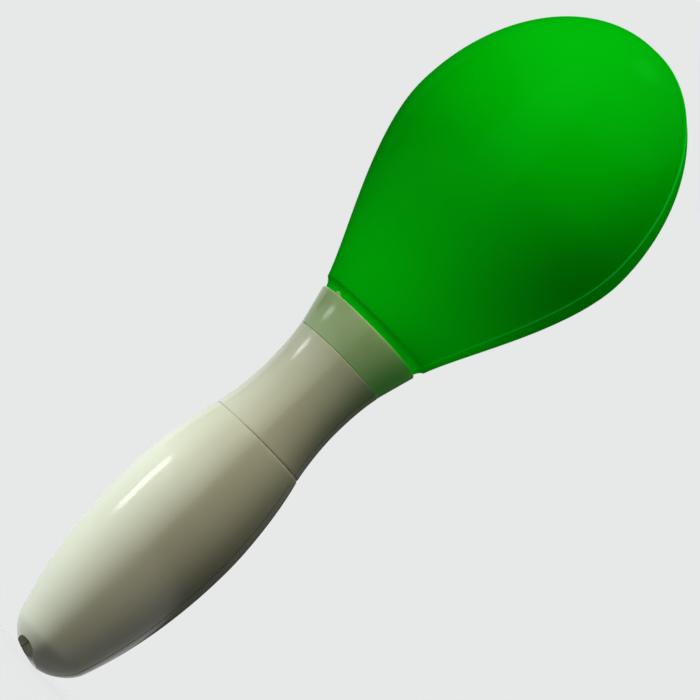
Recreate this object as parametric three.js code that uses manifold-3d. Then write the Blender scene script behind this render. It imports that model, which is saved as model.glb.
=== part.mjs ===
// A light-up maraca, standing on the end of its handle: +Z runs along its axis from the handle's end
// to the crown of the head, and the moulding seam of head, neck and barrel lies in the XZ plane.
// All sizes are in millimetres.

import * as THREE from 'three';
import { mergeVertices } from 'three/addons/utils/BufferGeometryUtils.js';
import Module from 'manifold-3d';

const wasm = await Module();
wasm.setup();

// Lengths along the axis; the barrel's own length follows from the button and the carrier inside it
const GROOVE_WIDTH = 0.5;
const NECK_LENGTH = 30.5;
const COLLAR_HEIGHT = 11.3;
const HEAD_RIM_TO_BELLY = 57.2;
const DOME_HEIGHT = 50.8;

// Barrel's outer line: an end dome that runs into the belly, and the belly that narrows to the mouth.
// A lean is radius per height where two curves join, and a reach is how far a curve holds its direction.
const END_DOME_RADIUS = 12;
const END_DOME_HEIGHT = 8;
const END_DOME_FLAT = 5.5;
const END_DOME_LEAN = 0.352;
const END_DOME_REACH = 3.6;
const BARREL_RISE_REACH = 15.9;
const BARREL_BELLY_RADIUS = 19.3;
const BARREL_BELLY_Z = 54;
const BARREL_BELLY_REACH_DOWN = 13.5;
const BARREL_BELLY_REACH_UP = 10.1;
const BARREL_MOUTH_RADIUS = 15.2;
const BARREL_MOUTH_LEAN = 0.3;
const BARREL_MOUTH_REACH = 7.2;
const END_WALL = 2.2;

// Neck's outer line: foot, waist and top
const NECK_FOOT_RADIUS = 15.05;
const NECK_FOOT_LEAN = 0.22;
const NECK_FOOT_REACH = 4.4;
const NECK_WAIST_RADIUS = 13.3;
const NECK_WAIST_RISE = 16;
const NECK_WAIST_REACH = 5;
const NECK_TOP_RADIUS = 14.5;
const NECK_TOP_LEAN = 0.2;
const NECK_TOP_REACH = 4.7;

// Collar and head: a straight flare with a round rim, then a chamfer, a cone and a dome
const COLLAR_FOOT_RADIUS = 14.5;
const COLLAR_LIP_HEIGHT = 0.8;
const COLLAR_LIP_REACH = 0.1;
const COLLAR_RIM_RADIUS = 17.2;
const COLLAR_RIM_ROUND = 0.7;
const HEAD_THROAT_RADIUS = 16.7;
const HEAD_CHAMFER_RADIUS = 18.4;
const HEAD_CHAMFER_RISE = 2.5;
const HEAD_CONE_LEAN = 0.35;
const HEAD_CONE_REACH = 11.6;
const HEAD_BELLY_RADIUS = 38.1;
const HEAD_BELLY_REACH = 18.2;

// Walls and fits
const HEAD_WALL = 1.6;
const NECK_WALL = 1.6;
const BARREL_WALL = 1.7;
const FIT = 0.3;

// Seams between the half shells: a tongue that laps behind the other half, and on the head a raised
// ridge, whose width counts from the seam plane to either side
const TONGUE_THICKNESS = 0.6;
const TONGUE_DEPTH = 1.2;
const SEAM_RIDGE_PROUD = 0.4;
const SEAM_RIDGE_ROOT = 0.4;
const SEAM_RIDGE_WIDTH = 0.8;

// The head's spigot in the collar, and the clear floor above it
const SPIGOT_RADIUS = 13.9;
const SPIGOT_WALL = 1.6;
const SPIGOT_DEPTH = 6.6;
const FLOOR_LEDGE_RISE = 1.7;
const FLOOR_THICKNESS = 1.6;
const FLOOR_RADIUS = 15;

// The collar's lower tube, held in the neck by a flange under a rib
const COLLAR_TUBE_RADIUS = 10.4;
const COLLAR_TUBE_WALL = 1.4;
const COLLAR_TUBE_DEPTH = 8;
const RIB_HEIGHT = 1.6;
const FLANGE_HEIGHT = 1.6;
const FLANGE_REACH = 1;

// The neck's spigot in the barrel's mouth
const NECK_SPIGOT_RADIUS = 13.1;
const NECK_SPIGOT_DEPTH = 10;
const SNAP_HEIGHT = 0.2;
const SNAP_SLOPE = 1;

// Battery carrier: a three-channel core between two end plates, with a stem up into the neck
const CELL_RADIUS = 5.25;
const CELL_LENGTH = 43.7;
const CELL_NUB_RADIUS = 1.9;
const CELL_NUB_HEIGHT = 0.8;
const CELL_COUNT = 3;
const CELL_CIRCLE_RADIUS = 6.9;
const CELL_CLEARANCE = 0.35;
const CELL_EDGE = 0.5;
const SPRING_SPACE = 4.4;
const TAB_THICKNESS = 0.5;
const CARRIER_RADIUS = 12.7;
const CARRIER_PLATE = 2.2;
const STEM_RADIUS = 9.4;
const STEM_WALL = 1.5;
const STEM_HEIGHT = 13;
const STEM_ROOT = 1;
const STEM_FLANGE_RADIUS = 11;

// Contact springs and tabs
const CONTACT_WIRE_RADIUS = 0.4;
const CONTACT_SPRING_RADIUS = 2.6;
const CONTACT_TURNS = 3;
const TAB_SIZE = 7;

// Push button in its off-centre well
const BUTTON_X = -2.2;
const BUTTON_Y = -2.75;
const BUTTON_RADIUS = 3.7;
const BUTTON_FACE_Z = 4.5;
const BUTTON_CAP_HEIGHT = 2.6;
const BUTTON_EDGE = 0.6;
const BUTTON_FLANGE_RADIUS = 4.6;
const BUTTON_FLANGE_HEIGHT = 1;
const BUTTON_STEM_RADIUS = 1.5;
const BUTTON_STEM_HEIGHT = 5.2;
const BUTTON_TRAVEL = 1.2;
const WELL_WALL = 1.1;
const WELL_LIP_RADIUS = 4.9;
const WELL_LIP_FLARE = 1;
const WELL_LIP_HEIGHT = 1.1;
const WELL_LIP_DEPTH = 2.86;
const RETAINER_THICKNESS = 1;
const RETURN_WIRE_RADIUS = 0.25;
const RETURN_SPRING_RADIUS = 3;
const RETURN_SPRING_LENGTH = 2.4;
const RETURN_TURNS = 3;
const SWITCH_SIZE = 6;
const SWITCH_HEIGHT = 3;
const SWITCH_NUB_RADIUS = 1.4;
const SWITCH_NUB_HEIGHT = 3;

// Lights and board
const BOARD_RADIUS = 11.8;
const BOARD_THICKNESS = 1.6;
const LED_COUNT = 3;
const LED_RADIUS = 2.5;
const LED_HEIGHT = 5.6;
const LED_RIM_RADIUS = 2.9;
const LED_RIM_HEIGHT = 1;
const LED_CIRCLE_RADIUS = 6.5;
const CHIP_RADIUS = 2.2;
const CHIP_HEIGHT = 1.1;
const CHIP_SHOULDER_RADIUS = 1.54;
const CHIP_SHOULDER_HEIGHT = 0.88;
const SHAKE_SWITCH_RADIUS = 2.4;
const SHAKE_SWITCH_HEIGHT = 8;
const LEAD_RADIUS = 0.6;
const LEAD_OFFSET = 5.2;
const LEAD_BOW = 1.2;

// Loose pellets
const BEAD_RADIUS = 2.5;
const BEAD_RESTING_GAP = 0.1;
const INNER_BEAD_COUNT = 3;
const INNER_BEAD_CIRCLE = 3.4;
const INNER_BEAD_TURN = 0.3;
const OUTER_BEAD_COUNT = 6;
const OUTER_BEAD_CIRCLE = 9.6;
const OUTER_BEAD_TURN = 0.1;

// Fineness
const HEAD_SIDES = 42;
const BODY_SIDES = 36;
const SMALL_SIDES = 16;
const CONE_STEPS = 6;
const DOME_STEPS = 7;
const BODY_CURVE_STEPS = 4;
const RIM_STEPS = 3;
const WIRE_SIDES = 5;
const LED_SIDES = 10;
const LED_DOME_STEPS = 4;
const LEAD_SIDES = 6;
const LEAD_STEPS = 12;
const BEAD_SIDES = 9;
const BEAD_RINGS = 6;
const WIRE_STEPS_PER_TURN = 8;
const MERGE_DISTANCE = 1e-4;

// Heights that follow from the sizes above, from the handle's end upwards
const WELL_BORE_RADIUS = BUTTON_RADIUS + FIT;
const WELL_SOCKET_RADIUS = BUTTON_FLANGE_RADIUS + FIT;
const BUTTON_FLANGE_Z = BUTTON_FACE_Z + BUTTON_CAP_HEIGHT;
const BUTTON_FLANGE_TOP_Z = BUTTON_FLANGE_Z + BUTTON_FLANGE_HEIGHT;
const WELL_STEP_Z = BUTTON_FLANGE_Z - FIT;
const RETAINER_Z = BUTTON_FLANGE_TOP_Z + RETURN_SPRING_LENGTH + 2 * FIT;
const WELL_TOP_Z = RETAINER_Z + RETAINER_THICKNESS;
const BUTTON_STEM_TOP_Z = BUTTON_FLANGE_TOP_Z + BUTTON_STEM_HEIGHT;
const SWITCH_NUB_Z = BUTTON_STEM_TOP_Z + BUTTON_TRAVEL + FIT;
const SWITCH_BODY_Z = SWITCH_NUB_Z + SWITCH_NUB_HEIGHT;
const CARRIER_FOOT_Z = SWITCH_BODY_Z + SWITCH_HEIGHT;
const CHANNEL_FOOT_Z = CARRIER_FOOT_Z + CARRIER_PLATE;
const CELL_FOOT_Z = CHANNEL_FOOT_Z + SPRING_SPACE;
const CELL_TOP_Z = CELL_FOOT_Z + CELL_LENGTH;
const TAB_Z = CELL_TOP_Z + CELL_NUB_HEIGHT + FIT;
const CHANNEL_TOP_Z = TAB_Z + TAB_THICKNESS + FIT;
const CARRIER_TOP_Z = CHANNEL_TOP_Z + CARRIER_PLATE;
const STEM_TOP_Z = CARRIER_TOP_Z + STEM_HEIGHT;
const STEM_FLANGE_FOOT_Z = STEM_TOP_Z - FLANGE_HEIGHT;
const NECK_SPIGOT_FOOT_Z = CARRIER_TOP_Z + FIT;
const NECK_FOOT_Z = NECK_SPIGOT_FOOT_Z + NECK_SPIGOT_DEPTH;
const BARREL_MOUTH_Z = NECK_FOOT_Z - GROOVE_WIDTH;
const NECK_TOP_Z = NECK_FOOT_Z + NECK_LENGTH;
const COLLAR_TOP_Z = NECK_TOP_Z + COLLAR_HEIGHT;
const COLLAR_TUBE_FOOT_Z = NECK_TOP_Z - COLLAR_TUBE_DEPTH;
const COLLAR_FLANGE_TOP_Z = COLLAR_TUBE_FOOT_Z + FLANGE_HEIGHT;
const SPIGOT_FOOT_Z = COLLAR_TOP_Z - SPIGOT_DEPTH;
const COLLAR_FLOOR_TOP_Z = SPIGOT_FOOT_Z - FIT;
const BOARD_TOP_Z = COLLAR_FLOOR_TOP_Z + BOARD_THICKNESS;
const FLOOR_LEDGE_Z = COLLAR_TOP_Z + FLOOR_LEDGE_RISE;
const FLOOR_TOP_Z = FLOOR_LEDGE_Z + FLOOR_THICKNESS;
const HEAD_BELLY_Z = COLLAR_TOP_Z + HEAD_RIM_TO_BELLY;
const CROWN_Z = HEAD_BELLY_Z + DOME_HEIGHT;

const FINISHES = {
  greenShell: { color: 0x00a414, roughness: 0.2 },
  paleGreen: { color: 0xa9c08f, roughness: 0.3 },
  offWhite: { color: 0xe3ead8, roughness: 0.3 },
  innerPlastic: { color: 0xcfd2cb, roughness: 0.4 },
  blackPlastic: { color: 0x1c1c1e, roughness: 0.5 },
  clearPlastic: { color: 0xe8f4ee, roughness: 0.15 },
  steel: { color: 0xb9bcc0, roughness: 0.3, metalness: 1 },
  board: { color: 0x1e6b3a, roughness: 0.5 },
  cellSleeve: { color: 0x4a4f56, roughness: 0.35 },
  redSleeve: { color: 0xc02020, roughness: 0.5 },
  pellet: { color: 0xf1efe6, roughness: 0.3 },
};

const group = new THREE.Group();

// Adds a solid to the model as a named mesh with a material of its own.
function addPart(name, solid, finish) {
  const mesh = new THREE.Mesh(toGeometry(solid), new THREE.MeshStandardMaterial(finish));
  mesh.name = name;
  group.add(mesh);
}

// Turns a closed geometry into a solid that can be cut and joined.
function toSolid(geometry) {
  const bare = geometry.index ? geometry.toNonIndexed() : geometry.clone();
  for (const name of Object.keys(bare.attributes)) {
    if (name !== 'position') bare.deleteAttribute(name);
  }
  const merged = mergeVertices(bare, MERGE_DISTANCE);
  const index = merged.index.array;
  const triangles = [];
  for (let i = 0; i < index.length; i += 3) {
    const [a, b, c] = [index[i], index[i + 1], index[i + 2]];
    if (a !== b && b !== c && c !== a) triangles.push(a, b, c);
  }
  const vertProperties = new Float32Array(merged.attributes.position.array);
  const triVerts = new Uint32Array(triangles);
  return new wasm.Manifold(new wasm.Mesh({ numProp: 3, vertProperties, triVerts }));
}

// Turns a solid back into a geometry with flat faces.
function toGeometry(solid) {
  const mesh = solid.getMesh();
  const indexed = new THREE.BufferGeometry();
  indexed.setAttribute('position', new THREE.BufferAttribute(new Float32Array(mesh.vertProperties), 3));
  indexed.setIndex(new THREE.BufferAttribute(new Uint32Array(mesh.triVerts), 1));
  const flat = indexed.toNonIndexed();
  flat.computeVertexNormals();
  return flat;
}

// Revolves a closed outline of [radius, height] points about the Z axis. The first side straddles the
// seam plane, so that no column of corners lies in that plane.
function revolve(outline, sides = BODY_SIDES) {
  let area = 0;
  outline.forEach(([r, z], i) => {
    const [nextR, nextZ] = outline[(i + 1) % outline.length];
    area += r * nextZ - nextR * z;
  });
  const ordered = area > 0 ? outline : [...outline].reverse();
  const loop = [...ordered, ordered[0]].map(([r, z]) => new THREE.Vector2(Math.max(r, 0), z));
  const lathe = new THREE.LatheGeometry(loop, sides);
  lathe.rotateX(Math.PI / 2);
  lathe.rotateZ(Math.PI / sides);
  return toSolid(lathe);
}

// A plain round bar or disc between two heights.
function bar(radius, low, high, sides = SMALL_SIDES) {
  return revolve([[0, low], [radius, low], [radius, high], [0, high]], sides);
}

// A ring between two radii and two heights.
function ring(inner, outer, low, high, sides = BODY_SIDES) {
  return revolve([[inner, low], [outer, low], [outer, high], [inner, high]], sides);
}

// A block given by its two corners.
function block(x0, x1, y0, y1, z0, z1) {
  const box = new THREE.BoxGeometry(x1 - x0, y1 - y0, z1 - z0);
  box.translate((x0 + x1) / 2, (y0 + y1) / 2, (z0 + z1) / 2);
  return toSolid(box);
}

// The slab of space between two distances behind the seam plane, wide and tall enough for any piece.
function seamSlab(nearY, farY) {
  return block(-2 * HEAD_BELLY_RADIUS, 2 * HEAD_BELLY_RADIUS, nearY, farY, -CROWN_Z, 2 * CROWN_Z);
}

// Samples a list of curves into [radius, height, normalRadius, normalHeight] points; the normal points
// out of a wall whose outline runs upwards.
function sample(curves) {
  const points = [];
  for (const { curve, steps } of curves) {
    for (let i = points.length ? 1 : 0; i <= steps; i++) {
      const { x, y } = curve.getPoint(i / steps);
      const tangent = curve.getTangent(i / steps);
      points.push([x, y, tangent.y, -tangent.x]);
    }
  }
  return points;
}

// The outline moved inwards by a wall or part of one.
function inset(points, depth) {
  return points.map(([r, z, normalR, normalZ]) => [r - depth * normalR, z - depth * normalZ]);
}

// A layer of a wall between two depths below its outer face and between two heights.
function layer(line, outer, inner, low, high, sides = BODY_SIDES) {
  const inRange = ([, z]) => z > low && z < high;
  const outside = inset(line, outer).filter(inRange);
  const inside = inset(line, inner).filter(inRange);
  return revolve([...outside, ...inside.reverse()], sides);
}

const vec = (r, z) => new THREE.Vector2(r, z);
const bezier = (a, b, c, d, steps) => ({ curve: new THREE.CubicBezierCurve(a, b, c, d), steps });
const { radToDeg } = THREE.MathUtils;

// Splits a hollow moulding into the halves in front of and behind the seam plane.
function splitAtSeam(whole) {
  const far = 2 * HEAD_BELLY_RADIUS;
  return { front: whole.intersect(seamSlab(-far, 0)), rear: whole.intersect(seamSlab(0, far)) };
}

// Laps the halves over each other: the front half gets a tongue that runs along its inner wall, and the
// rear half a rebate for it, each cut from a layer of the wall.
function lapSeam({ front, rear }, tongueLayer, rebateLayer) {
  const tongue = tongueLayer.intersect(seamSlab(-TONGUE_DEPTH, TONGUE_DEPTH));
  const rebate = rebateLayer.intersect(seamSlab(-FIT, TONGUE_DEPTH + FIT));
  return { front: front.add(tongue), rear: rear.subtract(rebate) };
}

// Outer line of the head from the throat's chamfer to the crown: a cone that swells into a dome.
function headOutline() {
  const chamferZ = COLLAR_TOP_Z + HEAD_CHAMFER_RISE;
  const cone = bezier(
    vec(HEAD_CHAMFER_RADIUS, chamferZ),
    vec(HEAD_CHAMFER_RADIUS + HEAD_CONE_LEAN * HEAD_CONE_REACH, chamferZ + HEAD_CONE_REACH),
    vec(HEAD_BELLY_RADIUS, HEAD_BELLY_Z - HEAD_BELLY_REACH),
    vec(HEAD_BELLY_RADIUS, HEAD_BELLY_Z),
    CONE_STEPS,
  );
  const dome = new THREE.EllipseCurve(0, HEAD_BELLY_Z, HEAD_BELLY_RADIUS, DOME_HEIGHT, 0, Math.PI / 2);
  return sample([cone, { curve: dome, steps: DOME_STEPS }]);
}

// A wall that follows the head between two depths below its outer face, from a height up to the crown.
function headBand(outer, inner) {
  const line = headOutline();
  const outside = inset(line, outer);
  const inside = inset(line, inner);
  outside[outside.length - 1][0] = 0;
  inside[inside.length - 1][0] = 0;
  return revolve([...outside, ...inside.reverse()], HEAD_SIDES);
}

// Two green half shells with a spigot below, a ledge for the clear floor and a raised seam.
function makeHead() {
  const line = headOutline();
  const inside = inset(line, HEAD_WALL).filter(([, z]) => z > FLOOR_TOP_Z + FIT);
  line[line.length - 1][0] = 0;
  inside[inside.length - 1][0] = 0;
  const spigotBore = SPIGOT_RADIUS - SPIGOT_WALL;
  const shell = revolve([
    [spigotBore, SPIGOT_FOOT_Z],
    [SPIGOT_RADIUS, SPIGOT_FOOT_Z],
    [SPIGOT_RADIUS, COLLAR_TOP_Z + FIT],
    [HEAD_THROAT_RADIUS, COLLAR_TOP_Z + FIT],
    ...line.map(([r, z]) => [r, z]),
    ...inside.reverse(),
    [FLOOR_RADIUS + FIT, FLOOR_TOP_Z],
    [FLOOR_RADIUS + FIT, FLOOR_LEDGE_Z],
    [spigotBore, FLOOR_LEDGE_Z],
  ], HEAD_SIDES);
  const lap = HEAD_WALL - TONGUE_THICKNESS;
  const tongue = headBand(lap, HEAD_WALL).trimByPlane([0, 0, 1], FLOOR_TOP_Z + FIT);
  const rebate = headBand(lap - FIT, HEAD_WALL + FIT).trimByPlane([0, 0, 1], FLOOR_TOP_Z);
  const { front, rear } = lapSeam(splitAtSeam(shell), tongue, rebate);
  const ridge = headBand(-SEAM_RIDGE_PROUD, SEAM_RIDGE_ROOT);
  const frontRidge = ridge.intersect(seamSlab(-SEAM_RIDGE_WIDTH, 0));
  const rearRidge = ridge.intersect(seamSlab(0, SEAM_RIDGE_WIDTH));
  addPart('head_shell_front', front.add(frontRidge), FINISHES.greenShell);
  addPart('head_shell_rear', rear.add(rearRidge), FINISHES.greenShell);
}

// The clear disc that closes the rattle chamber and rests on the ledge above the spigot.
function makeChamberFloor() {
  addPart('chamber_lens', bar(FLOOR_RADIUS, FLOOR_LEDGE_Z, FLOOR_TOP_Z, BODY_SIDES), FINISHES.clearPlastic);
}

// The translucent flared ring: a cup for the head's spigot, and a flanged tube held by the neck.
function makeCollar() {
  const tubeBore = COLLAR_TUBE_RADIUS - COLLAR_TUBE_WALL;
  const rim = [];
  for (let i = 0; i <= RIM_STEPS; i++) {
    const angle = (i / RIM_STEPS) * (Math.PI / 2);
    rim.push([
      COLLAR_RIM_RADIUS - COLLAR_RIM_ROUND * (1 - Math.cos(angle)),
      COLLAR_TOP_Z - COLLAR_RIM_ROUND * (1 - Math.sin(angle)),
    ]);
  }
  addPart('collar', revolve([
    [tubeBore, COLLAR_TUBE_FOOT_Z],
    [COLLAR_TUBE_RADIUS + FLANGE_REACH, COLLAR_TUBE_FOOT_Z],
    [COLLAR_TUBE_RADIUS + FLANGE_REACH, COLLAR_FLANGE_TOP_Z],
    [COLLAR_TUBE_RADIUS, COLLAR_FLANGE_TOP_Z],
    [COLLAR_TUBE_RADIUS, NECK_TOP_Z],
    [COLLAR_FOOT_RADIUS, NECK_TOP_Z],
    [COLLAR_FOOT_RADIUS + COLLAR_LIP_REACH, NECK_TOP_Z + COLLAR_LIP_HEIGHT],
    ...rim,
    [SPIGOT_RADIUS + FIT, COLLAR_TOP_Z],
    [SPIGOT_RADIUS + FIT, COLLAR_FLOOR_TOP_Z],
    [tubeBore, COLLAR_FLOOR_TOP_Z],
  ]), FINISHES.paleGreen);
}

// Outer line of the neck, from its foot at the groove up past the waist to its top.
function neckOutline() {
  const waistZ = NECK_FOOT_Z + NECK_WAIST_RISE;
  const lower = bezier(
    vec(NECK_FOOT_RADIUS, NECK_FOOT_Z),
    vec(NECK_FOOT_RADIUS - NECK_FOOT_LEAN * NECK_FOOT_REACH, NECK_FOOT_Z + NECK_FOOT_REACH),
    vec(NECK_WAIST_RADIUS, waistZ - NECK_WAIST_REACH),
    vec(NECK_WAIST_RADIUS, waistZ),
    BODY_CURVE_STEPS,
  );
  const upper = bezier(
    vec(NECK_WAIST_RADIUS, waistZ),
    vec(NECK_WAIST_RADIUS, waistZ + NECK_WAIST_REACH),
    vec(NECK_TOP_RADIUS - NECK_TOP_LEAN * NECK_TOP_REACH, NECK_TOP_Z - NECK_TOP_REACH),
    vec(NECK_TOP_RADIUS, NECK_TOP_Z),
    BODY_CURVE_STEPS,
  );
  return sample([lower, upper]);
}

// Two off-white half shells. Inside, an upper rib holds the collar's flange and a lower rib carries the
// flange of the battery carrier's stem. The spigot below has a snap ridge for the barrel.
function makeNeck() {
  const line = neckOutline();
  const spigotBore = STEM_FLANGE_RADIUS + FIT;
  const inside = inset(line, NECK_WALL)
    .map(([r, z]) => [Math.max(r, spigotBore), z])
    .filter(([, z]) => z > NECK_FOOT_Z + NECK_WALL && z < NECK_TOP_Z - NECK_WALL);
  const topBore = COLLAR_TUBE_RADIUS + FLANGE_REACH + FIT;
  const snapZ = NECK_FOOT_Z - NECK_SPIGOT_DEPTH / 2;
  const shell = revolve([
    [spigotBore, NECK_SPIGOT_FOOT_Z],
    [NECK_SPIGOT_RADIUS, NECK_SPIGOT_FOOT_Z],
    [NECK_SPIGOT_RADIUS, snapZ - SNAP_SLOPE],
    [NECK_SPIGOT_RADIUS + SNAP_HEIGHT, snapZ],
    [NECK_SPIGOT_RADIUS, snapZ + SNAP_SLOPE],
    [NECK_SPIGOT_RADIUS, NECK_FOOT_Z],
    ...line.map(([r, z]) => [r, z]),
    [topBore, NECK_TOP_Z],
    [topBore, NECK_TOP_Z - NECK_WALL],
    ...inside.reverse(),
    [spigotBore, NECK_FOOT_Z],
  ]);
  const ribRoot = NECK_WAIST_RADIUS - NECK_WALL / 2;
  const upperRibZ = COLLAR_FLANGE_TOP_Z + FIT;
  const lowerRibTopZ = STEM_FLANGE_FOOT_Z - FIT;
  const ribs = ring(COLLAR_TUBE_RADIUS + FIT, ribRoot, upperRibZ, upperRibZ + RIB_HEIGHT)
    .add(ring(STEM_RADIUS + FIT, ribRoot, lowerRibTopZ - RIB_HEIGHT, lowerRibTopZ));
  const { front, rear } = splitAtSeam(shell.add(ribs));
  addPart('neck_shell_front', front, FINISHES.offWhite);
  addPart('neck_shell_rear', rear, FINISHES.offWhite);
}

// Outer line of the barrel, from the end of the handle over the belly up to its mouth.
function barrelOutline() {
  const endDome = bezier(
    vec(0, 0),
    vec(END_DOME_FLAT, 0),
    vec(END_DOME_RADIUS - END_DOME_LEAN * END_DOME_REACH, END_DOME_HEIGHT - END_DOME_REACH),
    vec(END_DOME_RADIUS, END_DOME_HEIGHT),
    BODY_CURVE_STEPS,
  );
  const belly = bezier(
    vec(END_DOME_RADIUS, END_DOME_HEIGHT),
    vec(END_DOME_RADIUS + END_DOME_LEAN * BARREL_RISE_REACH, END_DOME_HEIGHT + BARREL_RISE_REACH),
    vec(BARREL_BELLY_RADIUS, BARREL_BELLY_Z - BARREL_BELLY_REACH_DOWN),
    vec(BARREL_BELLY_RADIUS, BARREL_BELLY_Z),
    BODY_CURVE_STEPS,
  );
  const shoulder = bezier(
    vec(BARREL_BELLY_RADIUS, BARREL_BELLY_Z),
    vec(BARREL_BELLY_RADIUS, BARREL_BELLY_Z + BARREL_BELLY_REACH_UP),
    vec(BARREL_MOUTH_RADIUS + BARREL_MOUTH_LEAN * BARREL_MOUTH_REACH, BARREL_MOUTH_Z - BARREL_MOUTH_REACH),
    vec(BARREL_MOUTH_RADIUS, BARREL_MOUTH_Z),
    BODY_CURVE_STEPS,
  );
  return sample([endDome, belly, shoulder]);
}

// The stepped bore of the button's well, with its soft outer lip and the open end towards the switch.
function wellBore() {
  const bore = revolve([
    [0, -WELL_LIP_HEIGHT],
    [WELL_LIP_RADIUS + WELL_LIP_FLARE, -WELL_LIP_HEIGHT],
    [WELL_LIP_RADIUS, WELL_LIP_HEIGHT],
    [WELL_BORE_RADIUS, WELL_LIP_DEPTH],
    [WELL_BORE_RADIUS, WELL_STEP_Z],
    [WELL_SOCKET_RADIUS, WELL_STEP_Z],
    [WELL_SOCKET_RADIUS, WELL_TOP_Z],
    [BUTTON_STEM_RADIUS + 2 * FIT, WELL_TOP_Z + WELL_WALL],
    [0, WELL_TOP_Z + WELL_WALL],
  ], SMALL_SIDES);
  return bore.translate([BUTTON_X, BUTTON_Y, 0]);
}

// Two off-white half shells, open at the mouth, with the button's well moulded inside the end.
function makeBarrel() {
  const line = barrelOutline();
  const mouthBore = NECK_SPIGOT_RADIUS + FIT;
  const bandLow = WELL_TOP_Z;
  const bandHigh = BARREL_MOUTH_Z - NECK_SPIGOT_DEPTH;
  const inside = inset(line, BARREL_WALL).filter(([r, z]) => r > 0 && z > END_WALL && z < bandHigh);
  const insideFootZ = inside[0][1];
  line[0][0] = 0;
  const shell = revolve([
    ...line.map(([r, z]) => [r, z]),
    [mouthBore, BARREL_MOUTH_Z],
    [mouthBore, bandHigh],
    ...inside.reverse(),
    [0, insideFootZ],
  ]);
  const middle = inset(line, BARREL_WALL / 2);
  middle[0][0] = 0;
  const envelope = revolve([...middle, [0, BARREL_MOUTH_Z]]);
  const boss = bar(WELL_SOCKET_RADIUS + WELL_WALL, END_WALL / 2, WELL_TOP_Z);
  const whole = shell.add(boss.translate([BUTTON_X, BUTTON_Y, 0]).intersect(envelope));
  const tongue = layer(line, BARREL_WALL - TONGUE_THICKNESS, BARREL_WALL, bandLow + FIT, bandHigh - FIT);
  const rebate = layer(line, BARREL_WALL - TONGUE_THICKNESS - FIT, BARREL_WALL + FIT, bandLow, bandHigh);
  const { front, rear } = lapSeam(splitAtSeam(whole.subtract(wellBore())), tongue, rebate);
  addPart('barrel_shell_front', front, FINISHES.offWhite);
  addPart('barrel_shell_rear', rear, FINISHES.offWhite);
}

// A coil of round wire about the Z axis, as one unbroken tube with straight stub ends.
function coil(radius, wireRadius, low, high, turns) {
  const points = [];
  const steps = turns * WIRE_STEPS_PER_TURN;
  for (let i = 0; i <= steps; i++) {
    const angle = (i / WIRE_STEPS_PER_TURN) * 2 * Math.PI;
    const rise = low + wireRadius + (high - low - 2 * wireRadius) * (i / steps);
    points.push(new THREE.Vector3(radius * Math.cos(angle), radius * Math.sin(angle), rise));
  }
  return wire(points, wireRadius, steps);
}

// A round wire through a list of points.
function wire(points, radius, steps, sides = WIRE_SIDES) {
  const section = new THREE.Shape();
  for (let i = 0; i < sides; i++) {
    const angle = (i / sides) * 2 * Math.PI;
    const place = [radius * Math.cos(angle), radius * Math.sin(angle)];
    if (i) section.lineTo(...place);
    else section.moveTo(...place);
  }
  const extrudePath = new THREE.CatmullRomCurve3(points);
  return toSolid(new THREE.ExtrudeGeometry(section, { steps, extrudePath, bevelEnabled: false }));
}

// Button cap with its flange and stem, the coil that returns it, and the ring that keeps both in.
function makeButton() {
  const place = [BUTTON_X, BUTTON_Y, 0];
  const cap = revolve([
    [0, BUTTON_FACE_Z],
    [BUTTON_RADIUS - BUTTON_EDGE, BUTTON_FACE_Z],
    [BUTTON_RADIUS, BUTTON_FACE_Z + BUTTON_EDGE],
    [BUTTON_RADIUS, BUTTON_FLANGE_Z],
    [BUTTON_FLANGE_RADIUS, BUTTON_FLANGE_Z],
    [BUTTON_FLANGE_RADIUS, BUTTON_FLANGE_TOP_Z],
    [BUTTON_STEM_RADIUS, BUTTON_FLANGE_TOP_Z],
    [BUTTON_STEM_RADIUS, BUTTON_STEM_TOP_Z],
    [0, BUTTON_STEM_TOP_Z],
  ], SMALL_SIDES);
  addPart('button_cap', cap.translate(place), FINISHES.offWhite);
  const springLow = BUTTON_FLANGE_TOP_Z + FIT;
  const springHigh = RETAINER_Z - FIT;
  const spring = coil(RETURN_SPRING_RADIUS, RETURN_WIRE_RADIUS, springLow, springHigh, RETURN_TURNS);
  addPart('button_spring', spring.translate(place), FINISHES.steel);
  const retainerRadius = WELL_SOCKET_RADIUS - FIT;
  const retainer = ring(BUTTON_STEM_RADIUS + FIT, retainerRadius, RETAINER_Z, WELL_TOP_Z, SMALL_SIDES);
  addPart('button_retainer', retainer.translate(place), FINISHES.innerPlastic);
}

// The places of the cells round the carrier, as x, y and the angle round the axis.
function cellPlaces() {
  return Array.from({ length: CELL_COUNT }, (_, i) => {
    const angle = Math.PI / 2 + (i / CELL_COUNT) * 2 * Math.PI;
    return [CELL_CIRCLE_RADIUS * Math.cos(angle), CELL_CIRCLE_RADIUS * Math.sin(angle), angle];
  });
}

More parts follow.
